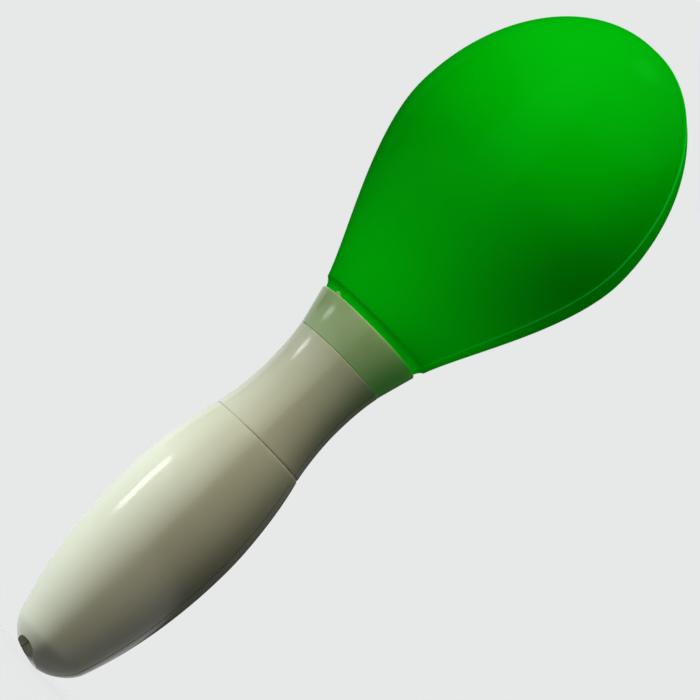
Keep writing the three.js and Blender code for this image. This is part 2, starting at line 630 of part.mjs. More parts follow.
// The core that holds the cells: three open channels between two plates, and a flanged stem above.
function makeCarrier() {
  const stemBore = STEM_RADIUS - STEM_WALL;
  let carrier = bar(CARRIER_RADIUS, CARRIER_FOOT_Z, CARRIER_TOP_Z, BODY_SIDES)
    .add(ring(stemBore, STEM_RADIUS, CARRIER_TOP_Z - STEM_ROOT, STEM_TOP_Z))
    .add(ring(stemBore, STEM_FLANGE_RADIUS, STEM_FLANGE_FOOT_Z, STEM_TOP_Z));
  const channelRadius = CELL_RADIUS + CELL_CLEARANCE;
  for (const [x, y, angle] of cellPlaces()) {
    const round = bar(channelRadius, CHANNEL_FOOT_Z, CHANNEL_TOP_Z, SMALL_SIDES).translate([x, y, 0]);
    const far = 2 * CARRIER_RADIUS;
    const mouth = block(CELL_CIRCLE_RADIUS, far, -channelRadius, channelRadius, CHANNEL_FOOT_Z, CHANNEL_TOP_Z)
      .rotate([0, 0, radToDeg(angle)]);
    carrier = carrier.subtract(round).subtract(mouth);
  }
  addPart('battery_carrier', carrier, FINISHES.blackPlastic);
}

// Three cells, each between a coil contact below and a flat tab above.
function makeCells() {
  const cell = revolve([
    [0, CELL_FOOT_Z],
    [CELL_RADIUS - CELL_EDGE, CELL_FOOT_Z],
    [CELL_RADIUS, CELL_FOOT_Z + CELL_EDGE],
    [CELL_RADIUS, CELL_TOP_Z - CELL_EDGE],
    [CELL_RADIUS - CELL_EDGE, CELL_TOP_Z],
    [CELL_NUB_RADIUS, CELL_TOP_Z],
    [CELL_NUB_RADIUS, CELL_TOP_Z + CELL_NUB_HEIGHT],
    [0, CELL_TOP_Z + CELL_NUB_HEIGHT],
  ], SMALL_SIDES);
  const springLow = CHANNEL_FOOT_Z + FIT;
  const springHigh = CELL_FOOT_Z - FIT;
  const spring = coil(CONTACT_SPRING_RADIUS, CONTACT_WIRE_RADIUS, springLow, springHigh, CONTACT_TURNS);
  const half = TAB_SIZE / 2;
  const tab = block(-half, half, -half, half, TAB_Z, TAB_Z + TAB_THICKNESS);
  cellPlaces().forEach(([x, y, angle], i) => {
    const turnedTab = tab.rotate([0, 0, radToDeg(angle)]);
    addPart(`battery_${i + 1}`, cell.translate([x, y, 0]), FINISHES.cellSleeve);
    addPart(`contact_spring_${i + 1}`, spring.translate([x, y, 0]), FINISHES.steel);
    addPart(`contact_tab_${i + 1}`, turnedTab.translate([x, y, 0]), FINISHES.steel);
  });
}

// The push switch under the carrier, its nub just out of the button stem's reach.
function makeTailSwitch() {
  const half = SWITCH_SIZE / 2;
  const body = block(-half, half, -half, half, SWITCH_BODY_Z, CARRIER_FOOT_Z);
  const nub = bar(SWITCH_NUB_RADIUS, SWITCH_NUB_Z, SWITCH_BODY_Z + SWITCH_HEIGHT / 2);
  addPart('tail_switch', body.add(nub).translate([BUTTON_X, BUTTON_Y, 0]), FINISHES.blackPlastic);
}

// The board on the collar's floor with its lights, its covered chip and the shake switch below.
function makeLights() {
  const board = bar(BOARD_RADIUS, COLLAR_FLOOR_TOP_Z, BOARD_TOP_Z, BODY_SIDES);
  addPart('led_board', board, FINISHES.board);
  const rimTopZ = BOARD_TOP_Z + LED_RIM_HEIGHT;
  const shoulderZ = BOARD_TOP_Z + LED_HEIGHT - LED_RADIUS;
  const profile = [
    [0, BOARD_TOP_Z],
    [LED_RIM_RADIUS, BOARD_TOP_Z],
    [LED_RIM_RADIUS, rimTopZ],
    [LED_RADIUS, rimTopZ],
  ];
  for (let i = 0; i <= LED_DOME_STEPS; i++) {
    const angle = (i / LED_DOME_STEPS) * (Math.PI / 2);
    profile.push([LED_RADIUS * Math.cos(angle), shoulderZ + LED_RADIUS * Math.sin(angle)]);
  }
  profile[profile.length - 1][0] = 0;
  const led = revolve(profile, LED_SIDES);
  for (let i = 0; i < LED_COUNT; i++) {
    const angle = (i / LED_COUNT) * 2 * Math.PI;
    const place = [LED_CIRCLE_RADIUS * Math.cos(angle), LED_CIRCLE_RADIUS * Math.sin(angle), 0];
    addPart(`led_${i + 1}`, led.translate(place), FINISHES.clearPlastic);
  }
  const chip = revolve([
    [0, BOARD_TOP_Z],
    [CHIP_RADIUS, BOARD_TOP_Z],
    [CHIP_SHOULDER_RADIUS, BOARD_TOP_Z + CHIP_SHOULDER_HEIGHT],
    [0, BOARD_TOP_Z + CHIP_HEIGHT],
  ], SMALL_SIDES);
  addPart('control_chip', chip, FINISHES.blackPlastic);
  const can = bar(SHAKE_SWITCH_RADIUS, COLLAR_FLOOR_TOP_Z - SHAKE_SWITCH_HEIGHT, COLLAR_FLOOR_TOP_Z);
  addPart('shake_switch', can, FINISHES.steel);
}

// The two wires that rise from the carrier's top plate through stem, neck and collar to the board.
function makeLeads() {
  const low = CARRIER_TOP_Z + FIT;
  const high = COLLAR_FLOOR_TOP_Z - FIT;
  const middle = (low + high) / 2;
  const lead = (side) => wire([
    new THREE.Vector3(side * LEAD_OFFSET, 0, low),
    new THREE.Vector3(side * (LEAD_OFFSET - LEAD_BOW / 2), LEAD_BOW, (low + middle) / 2),
    new THREE.Vector3(side * (LEAD_OFFSET + LEAD_BOW / 2), 0, middle),
    new THREE.Vector3(side * LEAD_OFFSET, -LEAD_BOW, (middle + high) / 2),
    new THREE.Vector3(side * LEAD_OFFSET, 0, high),
  ], LEAD_RADIUS, LEAD_STEPS, LEAD_SIDES);
  addPart('lead_positive', lead(1), FINISHES.redSleeve);
  addPart('lead_negative', lead(-1), FINISHES.blackPlastic);
}

// The pellets, heaped in two rings on the chamber's floor.
function makeBeads() {
  const centreZ = FLOOR_TOP_Z + BEAD_RESTING_GAP + BEAD_RADIUS;
  const bead = toSolid(new THREE.SphereGeometry(BEAD_RADIUS, BEAD_SIDES, BEAD_RINGS)).rotate([90, 0, 0]);
  const rings = [
    { count: INNER_BEAD_COUNT, radius: INNER_BEAD_CIRCLE, turn: INNER_BEAD_TURN },
    { count: OUTER_BEAD_COUNT, radius: OUTER_BEAD_CIRCLE, turn: OUTER_BEAD_TURN },
  ];
  let number = 1;
  for (const { count, radius, turn } of rings) {
    for (let i = 0; i < count; i++) {
      const angle = turn + (i / count) * 2 * Math.PI;
      const place = [radius * Math.cos(angle), radius * Math.sin(angle), centreZ];
      addPart(`bead_${number}`, bead.translate(place), FINISHES.pellet);
      number += 1;
    }
  }
}

makeHead();
makeChamberFloor();
makeCollar();
makeNeck();
makeBarrel();
makeButton();
makeCarrier();
makeCells();
makeTailSwitch();
makeLights();
makeLeads();
makeBeads();

export default group;
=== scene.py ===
"""Looks of a light-up maraca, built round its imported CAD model. Lengths are in metres and angles in
radians."""
import math

import bmesh
import bpy
from mathutils import Matrix, Vector
from mathutils.geometry import interpolate_bezier


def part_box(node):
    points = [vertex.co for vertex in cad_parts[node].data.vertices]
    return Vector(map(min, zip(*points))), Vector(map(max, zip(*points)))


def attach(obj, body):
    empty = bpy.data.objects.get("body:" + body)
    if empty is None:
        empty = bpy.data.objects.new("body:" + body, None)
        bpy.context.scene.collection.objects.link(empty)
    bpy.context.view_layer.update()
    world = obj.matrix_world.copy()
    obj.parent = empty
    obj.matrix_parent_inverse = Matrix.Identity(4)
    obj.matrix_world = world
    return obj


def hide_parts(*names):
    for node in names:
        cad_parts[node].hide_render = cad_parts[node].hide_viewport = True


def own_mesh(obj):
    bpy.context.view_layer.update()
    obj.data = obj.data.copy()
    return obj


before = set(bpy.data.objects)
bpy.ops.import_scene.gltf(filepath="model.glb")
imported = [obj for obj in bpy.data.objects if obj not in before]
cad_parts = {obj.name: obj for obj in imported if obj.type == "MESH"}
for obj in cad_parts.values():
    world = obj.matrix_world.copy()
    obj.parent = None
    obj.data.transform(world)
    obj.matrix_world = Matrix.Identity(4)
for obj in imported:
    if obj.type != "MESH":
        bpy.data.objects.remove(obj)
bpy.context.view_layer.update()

# Camera
# A long lens looks at the middle of the maraca from the side of its front half, a little from below,
# and is rolled so that the handle runs from the lower left to the head at the upper right.
VIEW_AZIMUTH = math.radians(25)
VIEW_ELEVATION = math.radians(-4.7)
VIEW_ROLL = math.radians(45.5)
VIEW_CENTRE = Vector((0, 0, 0.12))
VIEW_DISTANCE = 1.37
VIEW_LENS = 263

towards_camera = Vector((
    math.sin(VIEW_AZIMUTH) * math.cos(VIEW_ELEVATION),
    -math.cos(VIEW_AZIMUTH) * math.cos(VIEW_ELEVATION),
    math.sin(VIEW_ELEVATION),
))
level_right = Vector((math.cos(VIEW_AZIMUTH), math.sin(VIEW_AZIMUTH), 0))
level_up = towards_camera.cross(level_right)
image_right = math.sin(VIEW_ROLL) * level_up + math.cos(VIEW_ROLL) * level_right
image_up = math.cos(VIEW_ROLL) * level_up - math.sin(VIEW_ROLL) * level_right
camera_data = bpy.data.cameras.new("camera")
camera_data.lens = VIEW_LENS
camera = bpy.data.objects.new("camera", camera_data)
turned_to_view = Matrix((image_right, image_up, towards_camera)).transposed().to_4x4()
camera.matrix_world = Matrix.Translation(VIEW_CENTRE + VIEW_DISTANCE * towards_camera) @ turned_to_view
bpy.context.scene.collection.objects.link(camera)
bpy.context.scene.camera = camera
bpy.context.scene.view_settings.view_transform = "Standard"


# Studio floor
# A round sheet of matt pale board under the maraca. It thins out towards its rim, so that it has no
# hard edge against the backdrop behind it.
FLOOR_RADIUS = 0.7
FLOOR_FADE_START = 0.15
FLOOR_SIDES = 96
FLOOR_COLOUR = (0.14, 0.14, 0.14, 1)
FLOOR_LIGHT = 0.69
FLOOR_TINT = (0.975, 0.99, 1.0, 1)


def add_node(tree, kind, inputs=None, **settings):
    """Adds a shader node. An input that is given a socket is linked, and any other input is set."""
    made = tree.nodes.new(f"ShaderNode{kind}")
    for setting, value in settings.items():
        setattr(made, setting, value)
    for socket, value in (inputs or {}).items():
        if isinstance(value, bpy.types.NodeSocket):
            tree.links.new(value, made.inputs[socket])
        else:
            made.inputs[socket].default_value = value
    return made


def add_math(tree, operation, *values):
    """The result of one calculation with numbers or sockets."""
    return add_node(tree, "Math", dict(enumerate(values)), operation=operation).outputs[0]


def add_range(tree, value, start=0, end=1, low=0, high=1, smooth=False):
    """A value that runs from low to high while the given one runs from start to end."""
    return add_node(tree, "MapRange", {
        "Value": value, "From Min": start, "From Max": end, "To Min": low, "To Max": high,
    }, interpolation_type="SMOOTHSTEP" if smooth else "LINEAR").outputs["Result"]


def add_place(tree):
    """The place of a point in the object's own space."""
    return add_node(tree, "TexCoord").outputs["Object"]


def new_material(name, **surface):
    """A material with one Principled shader. Its sockets are set by their names, with _ for a space."""
    material = bpy.data.materials.new(name)
    material.use_nodes = True
    shader = material.node_tree.nodes["Principled BSDF"]
    for socket, value in surface.items():
        shader.inputs[socket.replace("_", " ")].default_value = value
    return material, material.node_tree, shader


def add_backdrop_mask(tree):
    """A mask that is 1 where the camera sees a surface directly, in a mirror or through a clear body."""
    path = add_node(tree, "LightPath").outputs
    seen = add_math(tree, "MAXIMUM", path["Is Camera Ray"], path["Is Glossy Ray"])
    return add_math(tree, "MAXIMUM", seen, path["Is Transmission Ray"])


floor_bm = bmesh.new()
bmesh.ops.create_circle(floor_bm, cap_ends=True, segments=FLOOR_SIDES, radius=FLOOR_RADIUS)
floor_mesh = bpy.data.meshes.new("studio_floor")
floor_bm.to_mesh(floor_mesh)
floor_bm.free()
studio_floor = bpy.data.objects.new("studio_floor", floor_mesh)
bpy.context.scene.collection.objects.link(studio_floor)

board_material, tree, shader = new_material(
    "pale_board", Base_Color=FLOOR_COLOUR, Emission_Color=FLOOR_TINT, Roughness=0.9,
    Specular_IOR_Level=0.1,
)
reach = add_node(tree, "VectorMath", {0: add_place(tree)}, operation="LENGTH").outputs["Value"]
fade = add_range(tree, reach, FLOOR_FADE_START, FLOOR_RADIUS, 1, 0, smooth=True)
tree.links.new(fade, shader.inputs["Alpha"])
lit = add_math(tree, "MULTIPLY", add_backdrop_mask(tree), FLOOR_LIGHT)
tree.links.new(lit, shader.inputs["Emission Strength"])
floor_mesh.materials.append(board_material)

# Studio light
# Three soft boxes light the handle's left side, the front from above and the back, and aren't mirrored.
# Two dim ones are only mirrored: they make the streak on the handle and the glint on the head's crown.
BACKDROP_COLOUR = (0.80, 0.81, 0.81, 1)
ROOM_COLOUR = (0.018, 0.018, 0.017, 1)

world = bpy.data.worlds.new("studio")
bpy.context.scene.world = world
world.use_nodes = True
tree = world.node_tree
tree.nodes.clear()
seen = add_backdrop_mask(tree)
room = add_node(tree, "Background", {"Color": ROOM_COLOUR, "Strength": 1})
backdrop = add_node(tree, "Background", {"Color": BACKDROP_COLOUR, "Strength": 1})
mixed = add_node(tree, "MixShader", {0: seen, 1: room.outputs[0], 2: backdrop.outputs[0]})
add_node(tree, "OutputWorld", {"Surface": mixed.outputs[0]})


def round_the_camera(angle):
    """The level direction at an angle round from the camera, to its right."""
    level_back = Vector((math.sin(VIEW_AZIMUTH), -math.cos(VIEW_AZIMUTH), 0))
    return math.cos(angle) * level_back + math.sin(angle) * level_right


def add_soft_box(name, turn_degrees, rise_degrees, distance, width, height, power, colour, mirrored=False):
    """Hangs a soft box by its turn round from the camera and its rise above the level. It lights the scene,
    or, if it is mirrored, it only shows in what is glossy."""
    rise = math.radians(rise_degrees)
    level_part = math.cos(rise) * round_the_camera(math.radians(turn_degrees))
    direction = level_part + Vector((0, 0, math.sin(rise)))
    lamp = bpy.data.lights.new(name, "AREA")
    lamp.shape = "RECTANGLE"
    lamp.size = width
    lamp.size_y = height
    lamp.energy = power
    lamp.color = colour
    box = bpy.data.objects.new(name, lamp)
    box.location = VIEW_CENTRE + distance * direction
    box.rotation_euler = direction.to_track_quat("Z", "Y").to_euler()
    box.visible_camera = False
    box.visible_glossy = mirrored
    box.visible_diffuse = not mirrored
    bpy.context.scene.collection.objects.link(box)


add_soft_box("key_box", turn_degrees=-87, rise_degrees=0, distance=0.8,
             width=0.17, height=0.165, power=5.8, colour=(0.89, 1.0, 1.06))
add_soft_box("key_mirror", turn_degrees=-87, rise_degrees=-1, distance=0.77,
             width=0.16, height=0.2, power=0.72, colour=(0.97, 1.0, 1.02), mirrored=True)
add_soft_box("top_box", turn_degrees=-33, rise_degrees=45, distance=0.9,
             width=0.5, height=0.5, power=4.6, colour=(1.0, 0.95, 0.74))
add_soft_box("back_box", turn_degrees=155, rise_degrees=35, distance=0.85,
             width=0.5, height=0.5, power=2.8, colour=(0.97, 1.0, 1.0))
add_soft_box("crown_mirror", turn_degrees=163, rise_degrees=74, distance=0.9,
             width=0.2, height=0.3, power=0.35, colour=(0.97, 1.0, 1.02), mirrored=True)

# Black cloth
# A dark curtain hangs from just beside the camera round to the back, so that the maraca's shaded side
# mirrors nothing bright, and a black flag beside the head keeps the key box off it.
CURTAIN_RADIUS = 0.95
CURTAIN_HALF_HEIGHT = 0.8
CURTAIN_START = math.radians(-3)
CURTAIN_END = math.radians(178)
CURTAIN_STEPS = 40
FLAG_DISTANCE = 0.23
FLAG_TURN = math.radians(-86)
FLAG_LOW_Z = 0.1047
FLAG_HIGH_Z = 0.32
FLAG_HALF_WIDTH = 0.2
CLOTH_BLACK = (0.012, 0.012, 0.012, 1)

black_cloth, _, _ = new_material(
    "black_cloth", Base_Color=CLOTH_BLACK, Roughness=0.95, Specular_IOR_Level=0.0,
)


def hang_cloth(name, bm):
    """Links a dark sheet that only mirrors and blocks light."""
    mesh = bpy.data.meshes.new(name)
    bm.to_mesh(mesh)
    bm.free()
    mesh.materials.append(black_cloth)
    cloth = bpy.data.objects.new(name, mesh)
    bpy.context.scene.collection.objects.link(cloth)
    cloth.visible_camera = False


bm = bmesh.new()
start = CURTAIN_RADIUS * round_the_camera(CURTAIN_START)
low = bm.verts.new(start + Vector((0, 0, VIEW_CENTRE.z - CURTAIN_HALF_HEIGHT)))
high = bm.verts.new(start + Vector((0, 0, VIEW_CENTRE.z + CURTAIN_HALF_HEIGHT)))
rod = bm.edges.new((low, high))
bmesh.ops.spin(bm, geom=[low, high, rod], cent=(0, 0, 0), axis=(0, 0, 1), dvec=(0, 0, 0),
               angle=CURTAIN_END - CURTAIN_START, steps=CURTAIN_STEPS, use_merge=False, use_duplicate=False)
hang_cloth("dark_curtain", bm)

bm = bmesh.new()
flag_middle = FLAG_DISTANCE * round_the_camera(FLAG_TURN)
flag_across = FLAG_HALF_WIDTH * round_the_camera(FLAG_TURN + math.pi / 2)
bm.faces.new([
    bm.verts.new(flag_middle + side * flag_across + Vector((0, 0, height)))
    for side, height in ((-1, FLAG_LOW_Z), (1, FLAG_LOW_Z), (1, FLAG_HIGH_Z), (-1, FLAG_HIGH_Z))
])
hang_cloth("head_flag", bm)

# Green head
# Two half shells of green translucent plastic, welded along a raised seam. The light of the lamps below is
# painted into them as a glow, most at the throat and at the crown, with a painted shade band just above the
# throat and a painted highlight along the crest of the seam.
HEAD_RADIUS = 0.0381
DOME_HEIGHT = 0.0508
RIDGE_PROUD = 0.0004
RIDGE_HALF_WIDTH = 0.0007
RIDGE_CUTS = (0.14, 0.32, 0.5, 0.68, 0.84, 1)
WELD_LINE_SHARE = 0.01
WELD_LINE_DEPTH = 0.00016
HEAD_WALL = 0.0016
HEAD_STEPS = 128
CONE_STEPS = 44
DOME_STEPS = 48
THROAT_RADIUS = 0.0167
CHAMFER_RADIUS = 0.0184
CHAMFER_RISE = 0.0022
CHAMFER_STEPS = 8
CHAMFER_LEAVING = (0.2, 0.5)
CHAMFER_ARRIVING = (0.4, 0.3)
CONE_LEAN = 0.35
CONE_REACH = 0.0116
BELLY_REACH = 0.0182
SPIGOT_RADIUS = 0.0139
SPIGOT_BORE = 0.0123
LEDGE_RADIUS = 0.0153
SPIGOT_DEPTH = 0.0069
LEDGE_RISE = 0.0014
LENS_THICKNESS = 0.0016
FULL_TURN = 2 * math.pi
MERGE_DISTANCE = 1e-6
NEARLY_ALL = 0.999
CREASE = math.radians(30)

head_low, head_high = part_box("head_shell_front")
throat_z = head_low.z + SPIGOT_DEPTH
belly_z = head_high.z - RIDGE_PROUD - DOME_HEIGHT
chamfer_z = throat_z + CHAMFER_RISE


def bend(start, leaving, arriving, end, steps):
    """A smooth stretch of an outline through two handles, as radius and height pairs."""
    handles = [Vector((radius, 0, height)) for radius, height in (start, leaving, arriving, end)]
    return [(point.x, point.z) for point in interpolate_bezier(*handles, steps + 1)]


def inside_of(outline, wall):
    """An outline moved inwards by a wall, as radius and height pairs."""
    moved = []
    for i, (radius, height) in enumerate(outline):
        before = outline[max(i - 1, 0)]
        after = outline[min(i + 1, len(outline) - 1)]
        along = Vector((after[0] - before[0], after[1] - before[1])).normalized()
        moved.append((radius - wall * along.y, height + wall * along.x))
    return moved


def turned(outline, steps, turn=FULL_TURN, skin=0):
    """Spins an outline round the Z axis. It closes on itself unless both its ends lie on the axis.
    The first points of it, as many as skin says, are marked as the piece's outer skin."""
    bm = bmesh.new()
    mark = bm.verts.layers.float.new("skin")
    corners = [bm.verts.new((radius, 0, height)) for radius, height in outline]
    for corner in corners[:skin]:
        corner[mark] = 1
    edges = [bm.edges.new(pair) for pair in zip(corners, corners[1:])]
    if corners[0].co.x > 0 or corners[-1].co.x > 0:
        edges.append(bm.edges.new((corners[-1], corners[0])))
    bmesh.ops.spin(bm, geom=corners + edges, cent=(0, 0, 0), axis=(0, 0, 1), dvec=(0, 0, 0),
                   angle=turn, steps=steps, use_merge=turn == FULL_TURN, use_duplicate=False)
    bmesh.ops.remove_doubles(bm, verts=bm.verts, dist=MERGE_DISTANCE)
    return bm


def cut_along(bm, point, across, **options):
    """Cuts a mesh along the plane through a point that is square to a direction."""
    bmesh.ops.bisect_plane(bm, geom=bm.verts[:] + bm.edges[:] + bm.faces[:], dist=MERGE_DISTANCE,
                           plane_co=point, plane_no=across, **options)


def shade_smooth(bm):
    """Shades a mesh smooth between its creases."""
    for face in bm.faces:
        face.smooth = True
    for edge in bm.edges:
        edge.smooth = len(edge.link_faces) == 2 and edge.calc_face_angle() < CREASE


def finished(bm, name):
    """Closes a mesh, turns its faces outwards, shades it smooth between creases and links it."""
    bmesh.ops.remove_doubles(bm, verts=bm.verts, dist=MERGE_DISTANCE)
    bmesh.ops.holes_fill(bm, edges=bm.edges, sides=0)
    bmesh.ops.recalc_face_normals(bm, faces=bm.faces)
    shade_smooth(bm)
    mesh = bpy.data.meshes.new(name)
    bm.to_mesh(mesh)
    bm.free()
    piece = bpy.data.objects.new(name, mesh)
    bpy.context.scene.collection.objects.link(piece)
    return piece


cone_outline = bend(
    (CHAMFER_RADIUS, chamfer_z),
    (CHAMFER_RADIUS + CONE_LEAN * CONE_REACH, chamfer_z + CONE_REACH),
    (HEAD_RADIUS, belly_z - BELLY_REACH),
    (HEAD_RADIUS, belly_z),
    CONE_STEPS,
)
dome_outline = []
for step in range(1, DOME_STEPS + 1):
    angle = step / DOME_STEPS * math.pi / 2
    dome_outline.append((HEAD_RADIUS * math.cos(angle), belly_z + DOME_HEIGHT * math.sin(angle)))
dome_outline[-1] = (0, belly_z + DOME_HEIGHT)
shell_outline = cone_outline + dome_outline
ledge_z = throat_z + LEDGE_RISE
chamber_z = ledge_z + LENS_THICKNESS + HEAD_WALL
chamber_outline = [point for point in inside_of(shell_outline, HEAD_WALL) if point[1] > chamber_z]
chamber_outline[-1] = (0, chamber_outline[-1][1])
throat_outline = bend(
    (THROAT_RADIUS, throat_z),
    (THROAT_RADIUS + CHAMFER_LEAVING[0] * CHAMFER_RISE, throat_z + CHAMFER_LEAVING[1] * CHAMFER_RISE),
    (CHAMFER_RADIUS - CHAMFER_ARRIVING[0] * CHAMFER_RISE, chamfer_z - CHAMFER_ARRIVING[1] * CHAMFER_RISE),
    (CHAMFER_RADIUS, chamfer_z),
    CHAMFER_STEPS,
)[:-1]
spigot_outline = [
    (LEDGE_RADIUS, ledge_z + LENS_THICKNESS),
    (LEDGE_RADIUS, ledge_z),
    (SPIGOT_BORE, ledge_z),
    (SPIGOT_BORE, head_low.z),
    (SPIGOT_RADIUS, head_low.z),
    (SPIGOT_RADIUS, throat_z),
]
head_skin = list(reversed(throat_outline + shell_outline))
head_outline = head_skin + list(reversed(spigot_outline)) + chamber_outline


def raise_ridge(bm, side):
    """Cuts loops along the seam and lifts the skin between them into half of the welded ridge."""
    mark = bm.verts.layers.float["skin"]
    for share in RIDGE_CUTS:
        cut_along(bm, (0, side * share * RIDGE_HALF_WIDTH, 0), (0, 1, 0))
    bm.normal_update()
    lifts = []
    for vert in bm.verts:
        share = abs(vert.co.y) / RIDGE_HALF_WIDTH
        if vert[mark] > NEARLY_ALL and share < NEARLY_ALL and vert.co.z > chamfer_z - MERGE_DISTANCE:
            outwards = Vector((vert.normal.x, 0, vert.normal.z)).normalized()
            if outwards.dot(Vector((vert.co.x, 0, vert.co.z - belly_z))) < 0:
                outwards.negate()
            lift = RIDGE_PROUD * math.cos(share * math.pi / 2) ** 2
            if share < WELD_LINE_SHARE:
                lift -= WELD_LINE_DEPTH
            lifts.append((vert, lift * outwards))
    for vert, lift in lifts:
        vert.co += lift


def add_noise(tree, place, scale, detail):
    """A cloudy pattern between 0 and 1."""
    return add_node(tree, "TexNoise", {"Vector": place, "Scale": scale, "Detail": detail}).outputs["Fac"]


def add_wobble(tree, place, scale, detail, amount):
    """A cloudy pattern round 0, which reaches half its amount either way."""
    middled = add_math(tree, "SUBTRACT", add_noise(tree, place, scale, detail), 0.5)
    return add_math(tree, "MULTIPLY", middled, amount)


def add_scaled(tree, colour, level):
    """A colour times a level."""
    return add_node(tree, "VectorMath", {0: colour, "Scale": level}, operation="SCALE").outputs["Vector"]


def new_group(name, inputs, outputs):
    """A node group with named sockets, given with their kinds and with the inputs' usual values."""
    group = bpy.data.node_groups.new(name, "ShaderNodeTree")
    for socket_name, kind, value in inputs:
        socket = group.interface.new_socket(socket_name, in_out="INPUT", socket_type=kind)
        socket.default_value = value
    for socket_name, kind in outputs:
        group.interface.new_socket(socket_name, in_out="OUTPUT", socket_type=kind)
    return group, group.nodes.new("NodeGroupInput").outputs, group.nodes.new("NodeGroupOutput").inputs


# Where a point lies on the maraca: its height, and its distance from the plane of the moulding seams.
place_on_maraca, _, leave = new_group("place_on_maraca", (), (
    ("Height", "NodeSocketFloat"),
    ("Off Seam", "NodeSocketFloat"),
))
along = add_node(place_on_maraca, "SeparateXYZ", {"Vector": add_place(place_on_maraca)}).outputs
place_on_maraca.links.new(along["Z"], leave["Height"])
place_on_maraca.links.new(add_math(place_on_maraca, "ABSOLUTE", along["Y"]), leave["Off Seam"])

# Moulded plastic: slight clouding, sparse dark specks, uneven polish and a skin that isn't quite flat.
SPECK_CELLS = 210
SPECK_CHANCE = 0.45
SPECK_RADIUS = 0.055
SPECK_BLUR = 0.02
SPECK_BROWN = (0.05, 0.04, 0.03, 1)
POLISH_PATCHES = 180
SKIN_WAVES = 320
SKIN_DEPTH = 0.0002
SKIN_STRENGTH = 0.06

moulding, entry, leave = new_group("moulding", (
    ("Colour", "NodeSocketColor", (1, 1, 1, 1)),
    ("Clouding", "NodeSocketFloat", 0.05),
    ("Cloud Size", "NodeSocketFloat", 60.0),
    ("Specks", "NodeSocketFloat", 0.5),
    ("Roughness", "NodeSocketFloat", 0.3),
    ("Unevenness", "NodeSocketFloat", 0.1),
), (
    ("Colour", "NodeSocketColor"),
    ("Roughness", "NodeSocketFloat"),
    ("Normal", "NodeSocketVector"),
))
place = add_place(moulding)
cloud = add_wobble(moulding, place, entry["Cloud Size"], 3, entry["Clouding"])
clouded = add_scaled(moulding, entry["Colour"], add_math(moulding, "ADD", cloud, 1))
cell = add_node(moulding, "TexVoronoi", {"Vector": place, "Scale": SPECK_CELLS}).outputs
draw = add_node(moulding, "SeparateColor", {"Color": cell["Color"]}).outputs["Red"]
size = add_range(moulding, draw, 1 - SPECK_CHANCE, 1, 0, SPECK_RADIUS)
inside = add_math(moulding, "SUBTRACT", size, cell["Distance"])
speck = add_range(moulding, inside, 0, SPECK_BLUR, 0, entry["Specks"])
specked = add_node(moulding, "Mix", {0: speck, 6: clouded, 7: SPECK_BROWN}, data_type="RGBA")
moulding.links.new(specked.outputs[2], leave["Colour"])
uneven = add_wobble(moulding, place, POLISH_PATCHES, 4, entry["Unevenness"])
moulding.links.new(add_math(moulding, "ADD", uneven, entry["Roughness"]), leave["Roughness"])
skin = add_noise(moulding, place, SKIN_WAVES, 2)
bump = add_node(moulding, "Bump", {"Height": skin, "Strength": SKIN_STRENGTH, "Distance": SKIN_DEPTH})
moulding.links.new(bump.outputs["Normal"], leave["Normal"])


def moulded(tree, shader, colour, **values):
    """Feeds a shader's colour, roughness and normal from the moulding group. The group's inputs are set by
    their names, with _ for a space."""
    inputs = {name.replace("_", " "): value for name, value in values.items()}
    made = add_node(tree, "Group", {"Colour": colour, **inputs}, node_tree=moulding).outputs
    tree.links.new(made["Colour"], shader.inputs["Base Color"])
    tree.links.new(made["Roughness"], shader.inputs["Roughness"])
    tree.links.new(made["Normal"], shader.inputs["Normal"])
    return made


# Light that shines through a wall from inside, painted as a glow: a little patchy, and dimmed by a
# painted shade where the wall is seen edge on.
GLOW_PATCHES = 28
EDGE_ON_SHADE_START = 0.65
EDGE_ON_SHADE_LEVEL = 0.6

glow_through, entry, leave = new_group("glow_through", (
    ("Colour", "NodeSocketColor", (0, 1, 0, 1)),
    ("Level", "NodeSocketFloat", 0.1),
    ("Patchiness", "NodeSocketFloat", 0.05),
    ("Edge On", "NodeSocketFloat", 0.0),
), (
    ("Glow", "NodeSocketColor"),
))
patch = add_range(
    glow_through, add_noise(glow_through, add_place(glow_through), GLOW_PATCHES, 2),
    low=add_math(glow_through, "SUBTRACT", 1, entry["Patchiness"]),
    high=add_math(glow_through, "ADD", 1, entry["Patchiness"]),
)
# Painted shade: the glow is dimmed where the wall is seen edge on.
painted_edge_shade = add_range(glow_through, entry["Edge On"], EDGE_ON_SHADE_START, 1, 1, EDGE_ON_SHADE_LEVEL)
light = add_math(glow_through, "MULTIPLY", add_math(glow_through, "MULTIPLY", entry["Level"], patch), painted_edge_shade)
glow_through.links.new(add_scaled(glow_through, entry["Colour"], light), leave["Glow"])


def add_glow(tree, shader, colour, low, high, levels, patchiness=0.05):
    """Feeds a shader's emission from the glow group. Its level follows the height: levels are pairs of a
    share of the height from low to high and the level there."""
    height = add_node(tree, "Group", node_tree=place_on_maraca).outputs["Height"]
    ramp = add_node(tree, "ValToRGB", {"Fac": add_range(tree, height, low, high)})
    ramp.color_ramp.interpolation = "B_SPLINE"
    stops = ramp.color_ramp.elements
    while len(stops) < len(levels):
        stops.new(0.5)
    for stop, (position, level) in zip(stops, levels):
        stop.position = position
        stop.color = (level, level, level, 1)
    edge_on = add_node(tree, "LayerWeight", {"Blend": 0.5}).outputs["Facing"]
    glow = add_node(tree, "Group", {
        "Colour": colour, "Level": ramp.outputs["Color"], "Patchiness": patchiness, "Edge On": edge_on,
    }, node_tree=glow_through).outputs["Glow"]
    tree.links.new(glow, shader.inputs["Emission Color"])
    shader.inputs["Emission Strength"].default_value = 1
    return glow


